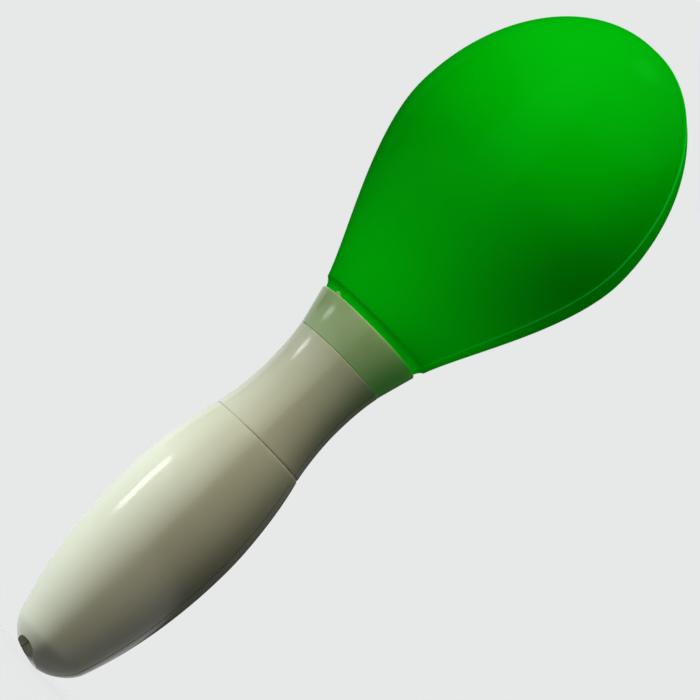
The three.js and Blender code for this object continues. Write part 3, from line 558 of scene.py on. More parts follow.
GREEN_BODY = (0.0, 0.6, 0.004, 1)
GREEN_LIGHT = (0, 1, 0, 1)
# Glow levels up the head. Their dip just above the throat is a painted shade band where the chamfer meets
# the cone.
HEAD_GLOW = (
    (0.0, 0.18), (0.01, 0.17), (0.018, 0.07), (0.027, 0.135), (0.05, 0.15), (0.11, 0.165), (0.2, 0.132),
    (0.32, 0.082), (0.45, 0.072), (0.6, 0.10), (0.8, 0.135), (0.94, 0.11), (1.0, 0.08),
)
CREST_PAINTED_HIGHLIGHT = (0.004, 0.10, 0.035)
CREST_CORE = 0.00008
CREST_EDGE = 0.0004
CREST_FADE_LOW = 0.005
CREST_FADE_HIGH = 0.04
POLISH_GREEN = (0.04, 1, 0.12, 1)
POLISH_IOR = 1.3
POLISH_MOST = 0.02

green_plastic, tree, shader = new_material("green_shell_plastic", Specular_IOR_Level=0.0)
moulded(
    tree, shader, GREEN_BODY, Clouding=0.12, Cloud_Size=45.0, Specks=0.15, Roughness=0.26, Unevenness=0.06,
)
glow = add_glow(tree, shader, GREEN_LIGHT, throat_z, head_high.z, HEAD_GLOW)
where = add_node(tree, "Group", node_tree=place_on_maraca).outputs
# A painted highlight along the crest of the welded ridge, added to the head's glow.
painted_crest_highlight = add_range(tree, where["Off Seam"], CREST_CORE, CREST_EDGE, 1, 0, smooth=True)
above_throat = add_range(tree, where["Height"], chamfer_z - CREST_FADE_LOW, chamfer_z + CREST_FADE_HIGH)
painted_crest_highlight = add_scaled(tree, CREST_PAINTED_HIGHLIGHT, add_math(tree, "MULTIPLY", painted_crest_highlight, above_throat))
both = add_node(tree, "VectorMath", {0: glow, 1: painted_crest_highlight}, operation="ADD").outputs["Vector"]
tree.links.new(both, shader.inputs["Emission Color"])
polish = add_node(tree, "BsdfGlossy", {"Color": POLISH_GREEN, "Roughness": 0.2}).outputs["BSDF"]
weight = add_node(tree, "Fresnel", {"IOR": POLISH_IOR}).outputs["Fac"]
weight = add_math(tree, "MINIMUM", weight, POLISH_MOST)
green_finish = add_node(tree, "MixShader", {0: weight, 1: shader.outputs["BSDF"], 2: polish})
tree.links.new(green_finish.outputs[0], tree.nodes["Material Output"].inputs["Surface"])

for name, node_name, side in (
    ("green_half_front", "head_shell_front", -1),
    ("green_half_rear", "head_shell_rear", 1),
):
    bm = turned(head_outline, HEAD_STEPS, side * math.pi, skin=len(head_skin))
    raise_ridge(bm, side)
    half = finished(bm, name)
    half.data.materials.append(green_plastic)
    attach(half, "head")
    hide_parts(node_name)

# Collar
# One moulding of pale, cloudy plastic between head and neck: a flared cup for the head's spigot, with a
# round rim, over a flanged tube that the neck holds. The green light of the head is painted into it as a
# glow, strongest at its rim.
COLLAR_RIM_RADIUS = 0.0172
COLLAR_RIM_ROUND = 0.0007
COLLAR_FOOT_RADIUS = 0.0145
COLLAR_LIP_HEIGHT = 0.0008
COLLAR_LIP_FLARE = 0.0001
COLLAR_GAP_DEPTH = 0.0004
COLLAR_GAP_HEIGHT = 0.0002
COLLAR_GAP_FLAT = 0.4
COLLAR_CUP_BORE = 0.0142
COLLAR_CUP_DEPTH = 0.0069
COLLAR_TUBE_RADIUS = 0.0104
COLLAR_TUBE_BORE = 0.009
COLLAR_FLANGE_RADIUS = 0.0114
COLLAR_FLANGE_HEIGHT = 0.0016
COLLAR_HEIGHT = 0.0113
COLLAR_STEPS = 216
RIM_STEPS = 8
PIP_AZIMUTH = math.radians(244.5)
PIP_HALF_WIDTH = 0.0009
PIP_HEIGHT = 0.0008
PIP_STEEPNESS = 2.2
PIP_HALF_CUTS = 6
PIP_INSET = 0.0005
PIP_RIM_SHARE = 0.6
PALE_BODY = (0.50, 0.56, 0.37, 1)
COLLAR_LIGHT = (0, 1, 0.01, 1)
COLLAR_GLOW = ((0.0, 0.06), (0.45, 0.05), (0.8, 0.06), (1.0, 0.10))

collar_low, collar_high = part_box("collar")
collar_foot_z = collar_high.z - COLLAR_HEIGHT


def quarter_round(centre_radius, centre_height, size, start, steps):
    """A quarter circle of an outline that starts at an angle and turns anticlockwise."""
    points = []
    for step in range(steps + 1):
        angle = start + step / steps * math.pi / 2
        points.append((centre_radius + size * math.cos(angle), centre_height + size * math.sin(angle)))
    return points


collar_outline = [
    (COLLAR_TUBE_BORE, collar_low.z),
    (COLLAR_FLANGE_RADIUS, collar_low.z),
    (COLLAR_FLANGE_RADIUS, collar_low.z + COLLAR_FLANGE_HEIGHT),
    (COLLAR_TUBE_RADIUS, collar_low.z + COLLAR_FLANGE_HEIGHT),
    (COLLAR_TUBE_RADIUS, collar_foot_z),
    (COLLAR_FOOT_RADIUS - COLLAR_GAP_DEPTH, collar_foot_z),
    (COLLAR_FOOT_RADIUS - COLLAR_GAP_DEPTH, collar_foot_z + COLLAR_GAP_FLAT * COLLAR_GAP_HEIGHT),
    (COLLAR_FOOT_RADIUS, collar_foot_z + COLLAR_GAP_HEIGHT),
    (COLLAR_FOOT_RADIUS + COLLAR_LIP_FLARE, collar_foot_z + COLLAR_LIP_HEIGHT),
    *quarter_round(COLLAR_RIM_RADIUS - COLLAR_RIM_ROUND, collar_high.z - COLLAR_RIM_ROUND,
                   COLLAR_RIM_ROUND, 0, RIM_STEPS),
    (COLLAR_CUP_BORE, collar_high.z),
    (COLLAR_CUP_BORE, collar_high.z - COLLAR_CUP_DEPTH),
    (COLLAR_TUBE_BORE, collar_high.z - COLLAR_CUP_DEPTH),
]
bm = turned(collar_outline, COLLAR_STEPS)
for step in range(-PIP_HALF_CUTS, PIP_HALF_CUTS + 1):
    cut = PIP_AZIMUTH + step / PIP_HALF_CUTS * PIP_HALF_WIDTH / COLLAR_RIM_RADIUS
    cut_along(bm, (0, 0, 0), (-math.sin(cut), math.cos(cut), 0))
pip_direction = Vector((math.cos(PIP_AZIMUTH), math.sin(PIP_AZIMUTH), 0))
for vert in bm.verts:
    flat = Vector((vert.co.x, vert.co.y, 0))
    from_pip = (flat - flat.length * pip_direction).length
    on_top = vert.co.z > collar_high.z - PIP_RIM_SHARE * COLLAR_RIM_ROUND
    if on_top and flat.length > COLLAR_CUP_BORE + PIP_INSET and from_pip < PIP_HALF_WIDTH:
        vert.co.z += PIP_HEIGHT * min(1, PIP_STEEPNESS * (1 - from_pip / PIP_HALF_WIDTH))
collar_ring = finished(bm, "collar_ring")
collar_plastic, tree, shader = new_material("pale_collar_plastic", Specular_IOR_Level=0.3)
moulded(
    tree, shader, PALE_BODY, Clouding=0.22, Cloud_Size=90.0, Specks=0.2, Roughness=0.14, Unevenness=0.08,
)
add_glow(tree, shader, COLLAR_LIGHT, collar_foot_z, collar_high.z, COLLAR_GLOW, patchiness=0.2)
collar_ring.data.materials.append(collar_plastic)
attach(collar_ring, "head")
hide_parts("collar")

# Neck
# Two half shells of glossy off-white plastic that close round the collar's tube and the battery
# carrier's stem. Their rims and the seam between them have a fine moulded round.
NECK_FOOT_RADIUS = 0.01505
NECK_FOOT_LEAN = 0.22
NECK_FOOT_REACH = 0.0044
NECK_WAIST_RADIUS = 0.0133
NECK_WAIST_RISE = 0.016
NECK_WAIST_REACH = 0.005
NECK_TOP_RADIUS = 0.0145
NECK_TOP_LEAN = 0.2
NECK_TOP_REACH = 0.0047
NECK_WALL = 0.0016
NECK_SPIGOT_RADIUS = 0.0131
NECK_SPIGOT_BORE = 0.0113
NECK_SPIGOT_DEPTH = 0.01
NECK_TOP_BORE = 0.0117
NECK_RIB_DEPTH = 0.0048
SNAP_PROUD = 0.0002
SNAP_HALF_HEIGHT = 0.001
NECK_STEPS = 96
NECK_LOW_STEPS = 24
NECK_HIGH_STEPS = 22
ROUNDED_ANGLE = math.radians(35)
EDGE_ROUND = 0.00035
SEAM_ROUND = 0.00028
SEAM_SHADE_CORE = 0.0001
SEAM_SHADE_LEVEL = 0.45
MOUTH_GAP = 0.00003
OFF_WHITE = (0.78, 0.775, 0.62, 1)
NECK_GLOW = ((0.0, 0.0), (0.5, 0.006), (1.0, 0.02))

neck_low, neck_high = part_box("neck_shell_front")
barrel_low, barrel_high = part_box("barrel_shell_front")
end_z = barrel_low.z
mouth_z = barrel_high.z
neck_foot_z = neck_low.z + NECK_SPIGOT_DEPTH
waist_z = neck_foot_z + NECK_WAIST_RISE
neck_skin = [(NECK_FOOT_RADIUS, mouth_z + MOUTH_GAP)] + bend(
    (NECK_FOOT_RADIUS, neck_foot_z),
    (NECK_FOOT_RADIUS - NECK_FOOT_LEAN * NECK_FOOT_REACH, neck_foot_z + NECK_FOOT_REACH),
    (NECK_WAIST_RADIUS, waist_z - NECK_WAIST_REACH),
    (NECK_WAIST_RADIUS, waist_z),
    NECK_LOW_STEPS,
) + bend(
    (NECK_WAIST_RADIUS, waist_z),
    (NECK_WAIST_RADIUS, waist_z + NECK_WAIST_REACH),
    (NECK_TOP_RADIUS - NECK_TOP_LEAN * NECK_TOP_REACH, neck_high.z - NECK_TOP_REACH),
    (NECK_TOP_RADIUS, neck_high.z),
    NECK_HIGH_STEPS,
)[1:]
snap_z = neck_low.z + NECK_SPIGOT_DEPTH / 2
neck_outline = neck_skin + [
    (NECK_TOP_BORE, neck_high.z),
    (NECK_TOP_BORE, neck_high.z - NECK_RIB_DEPTH),
    (NECK_SPIGOT_BORE, neck_high.z - NECK_RIB_DEPTH - NECK_WALL),
    (NECK_SPIGOT_BORE, neck_low.z),
    (NECK_SPIGOT_RADIUS, neck_low.z),
    (NECK_SPIGOT_RADIUS, snap_z - SNAP_HALF_HEIGHT),
    (NECK_SPIGOT_RADIUS + SNAP_PROUD, snap_z),
    (NECK_SPIGOT_RADIUS, snap_z + SNAP_HALF_HEIGHT),
    (NECK_SPIGOT_RADIUS, mouth_z + MOUTH_GAP),
]


def round_edges(bm, size, wanted, segments=3):
    """Rounds the creased edges of a closed mesh that a test picks."""
    picked = [
        edge for edge in bm.edges
        if len(edge.link_faces) == 2 and edge.calc_face_angle() > ROUNDED_ANGLE and wanted(edge)
    ]
    bmesh.ops.bevel(bm, geom=picked, offset=size, offset_type="OFFSET", segments=segments, profile=0.5,
                    affect="EDGES", clamp_overlap=False, material=-1)


def on_skin(bm):
    """A test for edges that lie on the outer skin of a turned piece."""
    mark = bm.verts.layers.float["skin"]
    return lambda edge: all(vert[mark] > NEARLY_ALL for vert in edge.verts)


def along_seam(edge):
    """True for an edge that lies in the seam plane."""
    return all(abs(vert.co.y) < MERGE_DISTANCE for vert in edge.verts)


def keep_half(bm, side):
    """Cuts a closed mesh down to its half on one side of the seam plane."""
    cut_along(bm, (0, 0, 0), (0, -side, 0), clear_outer=True)
    bmesh.ops.holes_fill(bm, edges=bm.edges, sides=0)
    bmesh.ops.recalc_face_normals(bm, faces=bm.faces)


handle_plastic, tree, shader = new_material("off_white_plastic", Specular_IOR_Level=0.35)
made = moulded(
    tree, shader, OFF_WHITE, Clouding=0.05, Cloud_Size=70.0, Specks=0.6, Roughness=0.11, Unevenness=0.04,
)
# Painted shade: the base colour darkens along the seam plane, as the dark line of the seam.
off_seam = add_node(tree, "Group", node_tree=place_on_maraca).outputs["Off Seam"]
seam_shade = add_range(tree, off_seam, SEAM_SHADE_CORE, SEAM_ROUND, SEAM_SHADE_LEVEL, 1, smooth=True)
seam_shaded_colour = add_scaled(tree, made["Colour"], seam_shade)
tree.links.new(seam_shaded_colour, shader.inputs["Base Color"])
# The head's green light is painted into the top of the neck as a faint glow.
add_glow(tree, shader, GREEN_LIGHT, neck_foot_z, neck_high.z, NECK_GLOW)

for name, node_name, side in (
    ("neck_half_front", "neck_shell_front", -1),
    ("neck_half_rear", "neck_shell_rear", 1),
):
    bm = turned(neck_outline, 2 * NECK_STEPS, skin=len(neck_skin))
    keep_half(bm, side)
    skin_test = on_skin(bm)
    round_edges(bm, EDGE_ROUND, lambda edge: skin_test(edge) and not along_seam(edge))
    round_edges(bm, SEAM_ROUND, lambda edge: along_seam(edge) and skin_test(edge), segments=2)
    half = finished(bm, name)
    half.data.materials.append(handle_plastic)
    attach(half, "head")
    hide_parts(node_name)

# Barrel
# Two half shells of the same off-white plastic, which snap over the neck's spigot and close in a round
# end. Off centre in that end is the well of the push button, which runs out through the rounded side.
END_DOME_RADIUS = 0.012
END_DOME_HEIGHT = 0.008
END_DOME_FLAT = 0.0055
END_DOME_LEAN = 0.352
END_DOME_REACH = 0.0036
BARREL_RISE_REACH = 0.0159
BARREL_RADIUS = 0.0193
BARREL_BELLY_RISE = 0.054
BELLY_REACH_DOWN = 0.0135
BELLY_REACH_UP = 0.0101
MOUTH_RADIUS = 0.0152
MOUTH_LEAN = 0.3
MOUTH_REACH = 0.0072
MOUTH_BORE = 0.0134
MOUTH_DEPTH = 0.01
BARREL_WALL = 0.0017
END_WALL = 0.0022
BARREL_STEPS = 96
END_DOME_STEPS = 22
BARREL_LOW_STEPS = 36
BARREL_HIGH_STEPS = 26
WELL_CENTRE = Vector((-0.0022, -0.00275, 0))
WELL_MOUTH_RADIUS = 0.0063
WELL_LIP_RADIUS = 0.0051
WELL_LIP_RISE = 0.0004
WELL_LIP_DEPTH = 0.0034
WELL_OVERRUN = 0.002
WELL_BORE = 0.004
WELL_SOCKET = 0.0049
WELL_STEP_RISE = 0.0068
WELL_TOP_RISE = 0.0121
WELL_WALL = 0.0011
WELL_STEPS = 64
WELL_LIP_STEPS = 10
RUNOUT_CENTRE = Vector((-0.0017, -0.0071, 0))
RUNOUT_RADIUS = 0.0034
RUNOUT_TOP = 0.0045
RUNOUT_FLARE = 0.0003
RUNOUT_WELL_SHARE = 0.9
RUNOUT_ROUND = ((1, 0.55), (0.88, 0.78), (0.64, 0.93), (0.32, 1))
OUTWARD_LEAN = 0.3

barrel_skin = bend(
    (0, end_z),
    (END_DOME_FLAT, end_z),
    (END_DOME_RADIUS - END_DOME_LEAN * END_DOME_REACH, end_z + END_DOME_HEIGHT - END_DOME_REACH),
    (END_DOME_RADIUS, end_z + END_DOME_HEIGHT),
    END_DOME_STEPS,
) + bend(
    (END_DOME_RADIUS, end_z + END_DOME_HEIGHT),
    (END_DOME_RADIUS + END_DOME_LEAN * BARREL_RISE_REACH, end_z + END_DOME_HEIGHT + BARREL_RISE_REACH),
    (BARREL_RADIUS, end_z + BARREL_BELLY_RISE - BELLY_REACH_DOWN),
    (BARREL_RADIUS, end_z + BARREL_BELLY_RISE),
    BARREL_LOW_STEPS,
)[1:] + bend(
    (BARREL_RADIUS, end_z + BARREL_BELLY_RISE),
    (BARREL_RADIUS, end_z + BARREL_BELLY_RISE + BELLY_REACH_UP),
    (MOUTH_RADIUS + MOUTH_LEAN * MOUTH_REACH, mouth_z - MOUTH_REACH),
    (MOUTH_RADIUS, mouth_z),
    BARREL_HIGH_STEPS,
)[1:]
barrel_inside = [
    point for point in inside_of(barrel_skin, BARREL_WALL)
    if end_z + END_WALL < point[1] < mouth_z - MOUTH_DEPTH - BARREL_WALL
]
barrel_outline = barrel_skin + [
    (MOUTH_BORE, mouth_z),
    (MOUTH_BORE, mouth_z - MOUTH_DEPTH),
] + list(reversed(barrel_inside)) + [(0, barrel_inside[0][1])]


def combined(piece, other, operation):
    """Joins a closed mesh to a piece or cuts it out, and removes that mesh's object."""
    modifier = piece.modifiers.new("combine", "BOOLEAN")
    modifier.operation = operation
    modifier.solver = "EXACT"
    modifier.object = other
    bpy.context.view_layer.update()
    whole = piece.evaluated_get(bpy.context.evaluated_depsgraph_get())
    mesh = bpy.data.meshes.new_from_object(whole)
    piece.modifiers.clear()
    piece.data = mesh
    bpy.data.objects.remove(other)
    mesh.name = piece.name


bm = turned(barrel_outline, 2 * BARREL_STEPS, skin=len(barrel_skin))
bmesh.ops.recalc_face_normals(bm, faces=bm.faces)
round_edges(bm, EDGE_ROUND, on_skin(bm))
barrel = finished(bm, "barrel")
envelope = [(0, end_z + BARREL_WALL / 2)] + inside_of(barrel_skin, BARREL_WALL / 2)[1:] + [(0, mouth_z)]
for centre, radius, top in (
    (WELL_CENTRE, WELL_SOCKET + WELL_WALL, WELL_TOP_RISE),
    (RUNOUT_CENTRE, RUNOUT_RADIUS + WELL_WALL, RUNOUT_TOP + WELL_WALL),
):
    boss = turned([
        (0, end_z + END_WALL / 2),
        (radius, end_z + END_WALL / 2),
        (radius, end_z + top),
        (0, end_z + top),
    ], WELL_STEPS)
    bmesh.ops.translate(boss, verts=boss.verts, vec=centre)
    boss = finished(boss, "boss")
    combined(boss, finished(turned(envelope, 2 * BARREL_STEPS), "envelope"), "INTERSECT")
    combined(barrel, boss, "UNION")
bore = turned([(0, end_z - WELL_OVERRUN)] + bend(
    (WELL_MOUTH_RADIUS, end_z - WELL_OVERRUN),
    (WELL_LIP_RADIUS, end_z + WELL_LIP_RISE),
    (WELL_BORE, end_z + WELL_LIP_DEPTH - WELL_OVERRUN),
    (WELL_BORE, end_z + WELL_LIP_DEPTH),
    WELL_LIP_STEPS,
) + [
    (WELL_BORE, end_z + WELL_STEP_RISE),
    (WELL_SOCKET, end_z + WELL_STEP_RISE),
    (WELL_SOCKET, end_z + WELL_TOP_RISE + WELL_WALL),
    (0, end_z + WELL_TOP_RISE + WELL_WALL),
], WELL_STEPS)
bmesh.ops.translate(bore, verts=bore.verts, vec=WELL_CENTRE)
combined(barrel, finished(bore, "bore"), "DIFFERENCE")
runout = bmesh.new()
runout_rings = [
    (WELL_CENTRE, WELL_BORE + RUNOUT_FLARE, -WELL_OVERRUN),
    (WELL_CENTRE, WELL_BORE - RUNOUT_FLARE, RUNOUT_WELL_SHARE * WELL_LIP_DEPTH),
    (RUNOUT_CENTRE, RUNOUT_RADIUS + RUNOUT_FLARE, -WELL_OVERRUN),
] + [(RUNOUT_CENTRE, wide * RUNOUT_RADIUS, tall * RUNOUT_TOP) for wide, tall in RUNOUT_ROUND]
for centre, radius, height in runout_rings:
    ring = bmesh.ops.create_circle(runout, segments=WELL_STEPS, radius=radius)
    bmesh.ops.translate(runout, verts=ring["verts"], vec=centre + Vector((0, 0, end_z + height)))
bmesh.ops.convex_hull(runout, input=runout.verts)
combined(barrel, finished(runout, "runout"), "DIFFERENCE")


def along_outer_seam(edge):
    """True for an edge of the seam plane whose outer face looks away from the barrel's middle."""
    middle = sum((vert.co for vert in edge.verts), Vector()) / 2
    outwards = middle - Vector((0, 0, end_z + BARREL_BELLY_RISE))
    lean = max(face.normal.dot(outwards.normalized()) for face in edge.link_faces)
    return along_seam(edge) and lean > OUTWARD_LEAN and middle.z > end_z + END_WALL / 2


for name, node_name, side in (
    ("barrel_half_front", "barrel_shell_front", -1),
    ("barrel_half_rear", "barrel_shell_rear", 1),
):
    bm = bmesh.new()
    bm.from_mesh(barrel.data)
    keep_half(bm, side)
    round_edges(bm, SEAM_ROUND, along_outer_seam, segments=2)
    half = finished(bm, name)
    half.data.materials.append(handle_plastic)
    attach(half, "handle")
    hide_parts(node_name)
bpy.data.objects.remove(barrel)

# Push button
# A round off-white cap with a shallow dish for the fingertip, flanged so that it stays in the well, with
# a stem that reaches the switch. A small steel coil behind it, kept by a ring, pushes it out again.
BUTTON_RADIUS = 0.0037
BUTTON_CAP_HEIGHT = 0.0026
BUTTON_FLANGE_RADIUS = 0.0046
BUTTON_FLANGE_HEIGHT = 0.001
BUTTON_STEM_RADIUS = 0.0015
BUTTON_DISH = 0.0003
DISH_BEND = (0.72, 0.25)
BUTTON_ROUND = 0.0005
BUTTON_ROUND_STEPS = 6
BUTTON_STEPS = 72
RETURN_WIRE_RADIUS = 0.00025
RETURN_COIL_RADIUS = 0.003
RETURN_TURNS = 3
WIRE_SIDES = 12
WIRE_STEPS_PER_TURN = 36
BUTTON_WHITE = (0.70, 0.69, 0.55, 1)
INNER_GREY = (0.55, 0.56, 0.52, 1)
STEEL_DRAWN = (900, 900, 120)
STEEL_PATCHES = 260
STEEL_BRIGHT = 0.14
STEEL_DULL = 0.47
STEEL_DARK = 0.5
STEEL_PALE = 0.72

cap_low, cap_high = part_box("button_cap")
flange_z = cap_low.z + BUTTON_CAP_HEIGHT
cap_outline = [
    (0, cap_low.z + BUTTON_DISH),
    (BUTTON_RADIUS * DISH_BEND[0], cap_low.z + BUTTON_DISH * DISH_BEND[1]),
    *quarter_round(BUTTON_RADIUS - BUTTON_ROUND, cap_low.z + BUTTON_ROUND,
                   BUTTON_ROUND, -math.pi / 2, BUTTON_ROUND_STEPS),
    (BUTTON_RADIUS, flange_z),
    (BUTTON_FLANGE_RADIUS, flange_z),
    (BUTTON_FLANGE_RADIUS, flange_z + BUTTON_FLANGE_HEIGHT),
    (BUTTON_STEM_RADIUS, flange_z + BUTTON_FLANGE_HEIGHT),
    (BUTTON_STEM_RADIUS, cap_high.z),
    (0, cap_high.z),
]
bm = turned(cap_outline, BUTTON_STEPS)
bmesh.ops.translate(bm, verts=bm.verts, vec=WELL_CENTRE)
push_button = finished(bm, "push_button")
button_plastic, tree, shader = new_material("button_plastic")
moulded(tree, shader, BUTTON_WHITE, Clouding=0.06, Specks=0.3, Roughness=0.35, Unevenness=0.1)
push_button.data.materials.append(button_plastic)
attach(push_button, "button")
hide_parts("button_cap")


def wound(name, wire_radius, coil_radius, low, high, turns, centre):
    """A coil of round wire: a small circle is swept round and upwards, and its ends are closed."""
    steps = turns * WIRE_STEPS_PER_TURN
    rise = high - low - 2 * wire_radius
    bm = bmesh.new()
    bmesh.ops.create_circle(bm, cap_ends=False, segments=WIRE_SIDES, radius=wire_radius)
    bmesh.ops.rotate(bm, verts=bm.verts, cent=(0, 0, 0), matrix=Matrix.Rotation(math.pi / 2, 3, "X"))
    bmesh.ops.translate(bm, verts=bm.verts, vec=(coil_radius, 0, low + wire_radius))
    bmesh.ops.spin(bm, geom=bm.verts[:] + bm.edges[:], cent=(0, 0, 0), axis=(0, 0, 1),
                   dvec=(0, 0, rise / steps), angle=turns * FULL_TURN, steps=steps, use_merge=False,
                   use_duplicate=False)
    bmesh.ops.translate(bm, verts=bm.verts, vec=centre)
    return finished(bm, name)


steel, tree, shader = new_material("drawn_steel", Metallic=1.0)
place = add_place(tree)
stretched = add_node(tree, "Mapping", {"Vector": place, "Scale": STEEL_DRAWN}).outputs["Vector"]
dull = add_noise(tree, place, STEEL_PATCHES, 2)
both = add_math(tree, "MULTIPLY", add_noise(tree, stretched, 1, 3), dull)
tree.links.new(add_range(tree, both, low=STEEL_BRIGHT, high=STEEL_DULL), shader.inputs["Roughness"])
tree.links.new(add_range(tree, dull, low=STEEL_DARK, high=STEEL_PALE), shader.inputs["Base Color"])
spring_low, spring_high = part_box("button_spring")
return_coil = wound("return_coil", RETURN_WIRE_RADIUS, RETURN_COIL_RADIUS, spring_low.z, spring_high.z,
                    RETURN_TURNS, WELL_CENTRE)
return_coil.data.materials.append(steel)
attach(return_coil, "handle")
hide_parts("button_spring")
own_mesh(return_coil)


def dress(node, material):
    """Gives a node of the CAD model a material in place of its plain one."""
    for slot in node.material_slots:
        slot.material = material


inner_plastic, tree, shader = new_material("inner_plastic")
moulded(tree, shader, INNER_GREY, Clouding=0.08, Specks=0.2, Roughness=0.45, Unevenness=0.1)
dress(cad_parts["button_retainer"], inner_plastic)

# Battery carrier
# A black core that hangs from the neck by its flanged stem, with three open channels for the cells.
# Each channel has a coil contact at its foot and a flat tab at its head, both of steel.
CARRIER_RADIUS = 0.0127
CARRIER_PLATE = 0.0022
CARRIER_STEPS = 96
CHANNEL_RADIUS = 0.0056
CHANNEL_STEPS = 56
CELL_CIRCLE = 0.0069
CELL_COUNT = 3
STEM_RADIUS = 0.0094
STEM_BORE = 0.0079
STEM_FLANGE_RADIUS = 0.011
STEM_FLANGE_HEIGHT = 0.0016
STEM_HEIGHT = 0.013
CARRIER_BLACK = (0.022, 0.022, 0.024, 1)

carrier_low, carrier_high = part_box("battery_carrier")
plate_top_z = carrier_high.z - STEM_HEIGHT
carrier_outline = [
    (0, carrier_low.z),
    (CARRIER_RADIUS, carrier_low.z),
    (CARRIER_RADIUS, plate_top_z),
    (STEM_RADIUS, plate_top_z),
    (STEM_RADIUS, carrier_high.z - STEM_FLANGE_HEIGHT),
    (STEM_FLANGE_RADIUS, carrier_high.z - STEM_FLANGE_HEIGHT),
    (STEM_FLANGE_RADIUS, carrier_high.z),
    (STEM_BORE, carrier_high.z),
    (STEM_BORE, plate_top_z),
    (0, plate_top_z),
]
carrier_core = finished(turned(carrier_outline, CARRIER_STEPS), "carrier_core")
channel_low = carrier_low.z + CARRIER_PLATE
channel_high = plate_top_z - CARRIER_PLATE
cell_places = []
for number in range(CELL_COUNT):
    angle = math.pi / 2 + number / CELL_COUNT * FULL_TURN
    cell_places.append((Vector((math.cos(angle), math.sin(angle), 0)) * CELL_CIRCLE, angle))
for centre, angle in cell_places:
    channel = turned([
        (0, channel_low),
        (CHANNEL_RADIUS, channel_low),
        (CHANNEL_RADIUS, channel_high),
        (0, channel_high),
    ], CHANNEL_STEPS)
    outer_verts = [vert for vert in channel.verts if vert.co.x > MERGE_DISTANCE]
    bmesh.ops.translate(channel, verts=outer_verts, vec=(CARRIER_RADIUS, 0, 0))
    bmesh.ops.translate(channel, verts=channel.verts, vec=(CELL_CIRCLE, 0, 0))
    bmesh.ops.rotate(channel, verts=channel.verts, cent=(0, 0, 0), matrix=Matrix.Rotation(angle, 3, "Z"))
    combined(carrier_core, finished(channel, "channel"), "DIFFERENCE")
bm = bmesh.new()
bm.from_mesh(carrier_core.data)
bmesh.ops.remove_doubles(bm, verts=bm.verts, dist=MERGE_DISTANCE)
shade_smooth(bm)
bm.to_mesh(carrier_core.data)
bm.free()
carrier_plastic, tree, shader = new_material("black_carrier_plastic")
moulded(tree, shader, CARRIER_BLACK, Clouding=0.3, Specks=0.0, Roughness=0.42, Unevenness=0.15)
carrier_core.data.materials.append(carrier_plastic)
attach(carrier_core, "head")
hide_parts("battery_carrier")

# Cells and contacts
# Three small dry cells in plain shrunk sleeves, dark below and copper above, with steel ends.
CELL_RADIUS = 0.00525
CELL_NUB_RADIUS = 0.0019
CELL_NUB_HEIGHT = 0.0008
CELL_NUB_EDGE = 0.0003
CELL_NUB_EDGE_STEPS = 3
CELL_EDGE = 0.0005
CELL_EDGE_STEPS = 4
CELL_STEPS = 56
CELL_STEEL = (0.62, 0.62, 0.61, 1)
SLEEVE_DARK = (0.02, 0.024, 0.035, 1)
SLEEVE_COPPER = (0.42, 0.17, 0.055, 1)
SLEEVE_BAND_SHARE = 0.74
SLEEVE_MARGIN = 0.0004
SLEEVE_GLOSS = 0.2
SLEEVE_SCUFF = 0.42
SCUFF_SCALE = 300
CONTACT_WIRE_RADIUS = 0.0004
CONTACT_COIL_RADIUS = 0.0026
CONTACT_TURNS = 3

cell_low, cell_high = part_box("battery_1")
cell_top_z = cell_high.z - CELL_NUB_HEIGHT
sleeve, tree, shader = new_material("cell_sleeve")
height = add_node(tree, "Group", node_tree=place_on_maraca).outputs["Height"]
band_z = cell_low.z + SLEEVE_BAND_SHARE * (cell_top_z - cell_low.z)
above_band = add_math(tree, "GREATER_THAN", height, band_z)
banded = add_node(tree, "Mix", {0: above_band, 6: SLEEVE_DARK, 7: SLEEVE_COPPER}, data_type="RGBA")
above_sleeve = add_math(tree, "GREATER_THAN", height, cell_top_z - SLEEVE_MARGIN)
below_sleeve = add_math(tree, "LESS_THAN", height, cell_low.z + SLEEVE_MARGIN)
bare_end = add_math(tree, "MAXIMUM", above_sleeve, below_sleeve)
with_ends = add_node(tree, "Mix", {0: bare_end, 6: banded.outputs[2], 7: CELL_STEEL}, data_type="RGBA")
tree.links.new(with_ends.outputs[2], shader.inputs["Base Color"])
tree.links.new(bare_end, shader.inputs["Metallic"])
scuffs = add_noise(tree, add_place(tree), SCUFF_SCALE, 4)
scuffs = add_range(tree, scuffs, low=SLEEVE_GLOSS, high=SLEEVE_SCUFF)
tree.links.new(scuffs, shader.inputs["Roughness"])

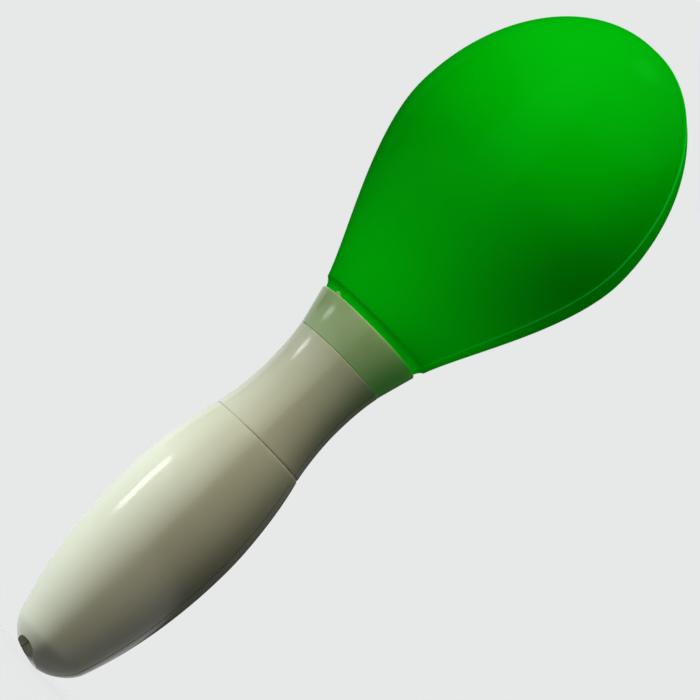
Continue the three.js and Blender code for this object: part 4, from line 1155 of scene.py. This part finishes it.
for number, (centre, _) in enumerate(cell_places, start=1):
    cell_outline = [
        (0, cell_low.z),
        *quarter_round(CELL_RADIUS - CELL_EDGE, cell_low.z + CELL_EDGE,
                       CELL_EDGE, -math.pi / 2, CELL_EDGE_STEPS),
        *quarter_round(CELL_RADIUS - CELL_EDGE, cell_top_z - CELL_EDGE, CELL_EDGE, 0, CELL_EDGE_STEPS),
        (CELL_NUB_RADIUS, cell_top_z),
        *quarter_round(CELL_NUB_RADIUS - CELL_NUB_EDGE, cell_high.z - CELL_NUB_EDGE,
                       CELL_NUB_EDGE, 0, CELL_NUB_EDGE_STEPS),
        (0, cell_high.z),
    ]
    bm = turned(cell_outline, CELL_STEPS)
    bmesh.ops.translate(bm, verts=bm.verts, vec=centre)
    cell = finished(bm, f"dry_cell_{number}")
    cell.data.materials.append(sleeve)
    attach(cell, "head")
    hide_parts(f"battery_{number}")

    foot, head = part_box(f"contact_spring_{number}")
    contact = wound(f"contact_coil_{number}", CONTACT_WIRE_RADIUS, CONTACT_COIL_RADIUS, foot.z, head.z,
                    CONTACT_TURNS, centre)
    contact.data.materials.append(steel)
    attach(contact, "head")
    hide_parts(f"contact_spring_{number}")

    dress(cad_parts[f"contact_tab_{number}"], steel)

# Tail switch, board and wires
# The small push switch under the carrier, and what the collar hides: the green board with its lights,
# its covered chip, the shake switch under it and the two wires that come up from the cells.
BOARD_GREEN = (0.012, 0.10, 0.035, 1)
RESIN_BLACK = (0.015, 0.015, 0.016, 1)
LEAD_RED = (0.45, 0.015, 0.012, 1)
LEAD_BLACK = (0.02, 0.02, 0.02, 1)
LAMP_CLEAR = (0.85, 0.95, 0.88, 1)
LAMP_COUNT = 3

for colour_name, colour, roughness, node_names in (
    ("board_lacquer", BOARD_GREEN, 0.4, ["led_board"]),
    ("chip_resin", RESIN_BLACK, 0.3, ["control_chip", "tail_switch"]),
    ("red_insulation", LEAD_RED, 0.45, ["lead_positive"]),
    ("black_insulation", LEAD_BLACK, 0.45, ["lead_negative"]),
):
    material, tree, shader = new_material(colour_name)
    moulded(
        tree, shader, colour, Clouding=0.2, Cloud_Size=300.0, Specks=0.0, Roughness=roughness,
        Unevenness=0.15,
    )
    for node_name in node_names:
        dress(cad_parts[node_name], material)
dress(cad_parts["shake_switch"], steel)

clear_plastic, tree, shader = new_material("clear_plastic", Transmission_Weight=0.85)
moulded(tree, shader, LAMP_CLEAR, Clouding=0.05, Specks=0.0, Roughness=0.12, Unevenness=0.05)
for node_name in ["chamber_lens"] + [f"led_{number}" for number in range(1, LAMP_COUNT + 1)]:
    dress(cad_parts[node_name], clear_plastic)

# Rattle
# Nine loose round pellets of hard cream plastic lie on the clear floor of the head.
PELLET_COUNT = 9
PELLET_CREAM = (0.80, 0.77, 0.66, 1)

pellet_plastic, tree, shader = new_material("pellet_plastic")
moulded(
    tree, shader, PELLET_CREAM, Clouding=0.1, Cloud_Size=400.0, Specks=0.2, Roughness=0.35, Unevenness=0.1,
)
for number in range(1, PELLET_COUNT + 1):
    dress(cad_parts[f"bead_{number}"], pellet_plastic)
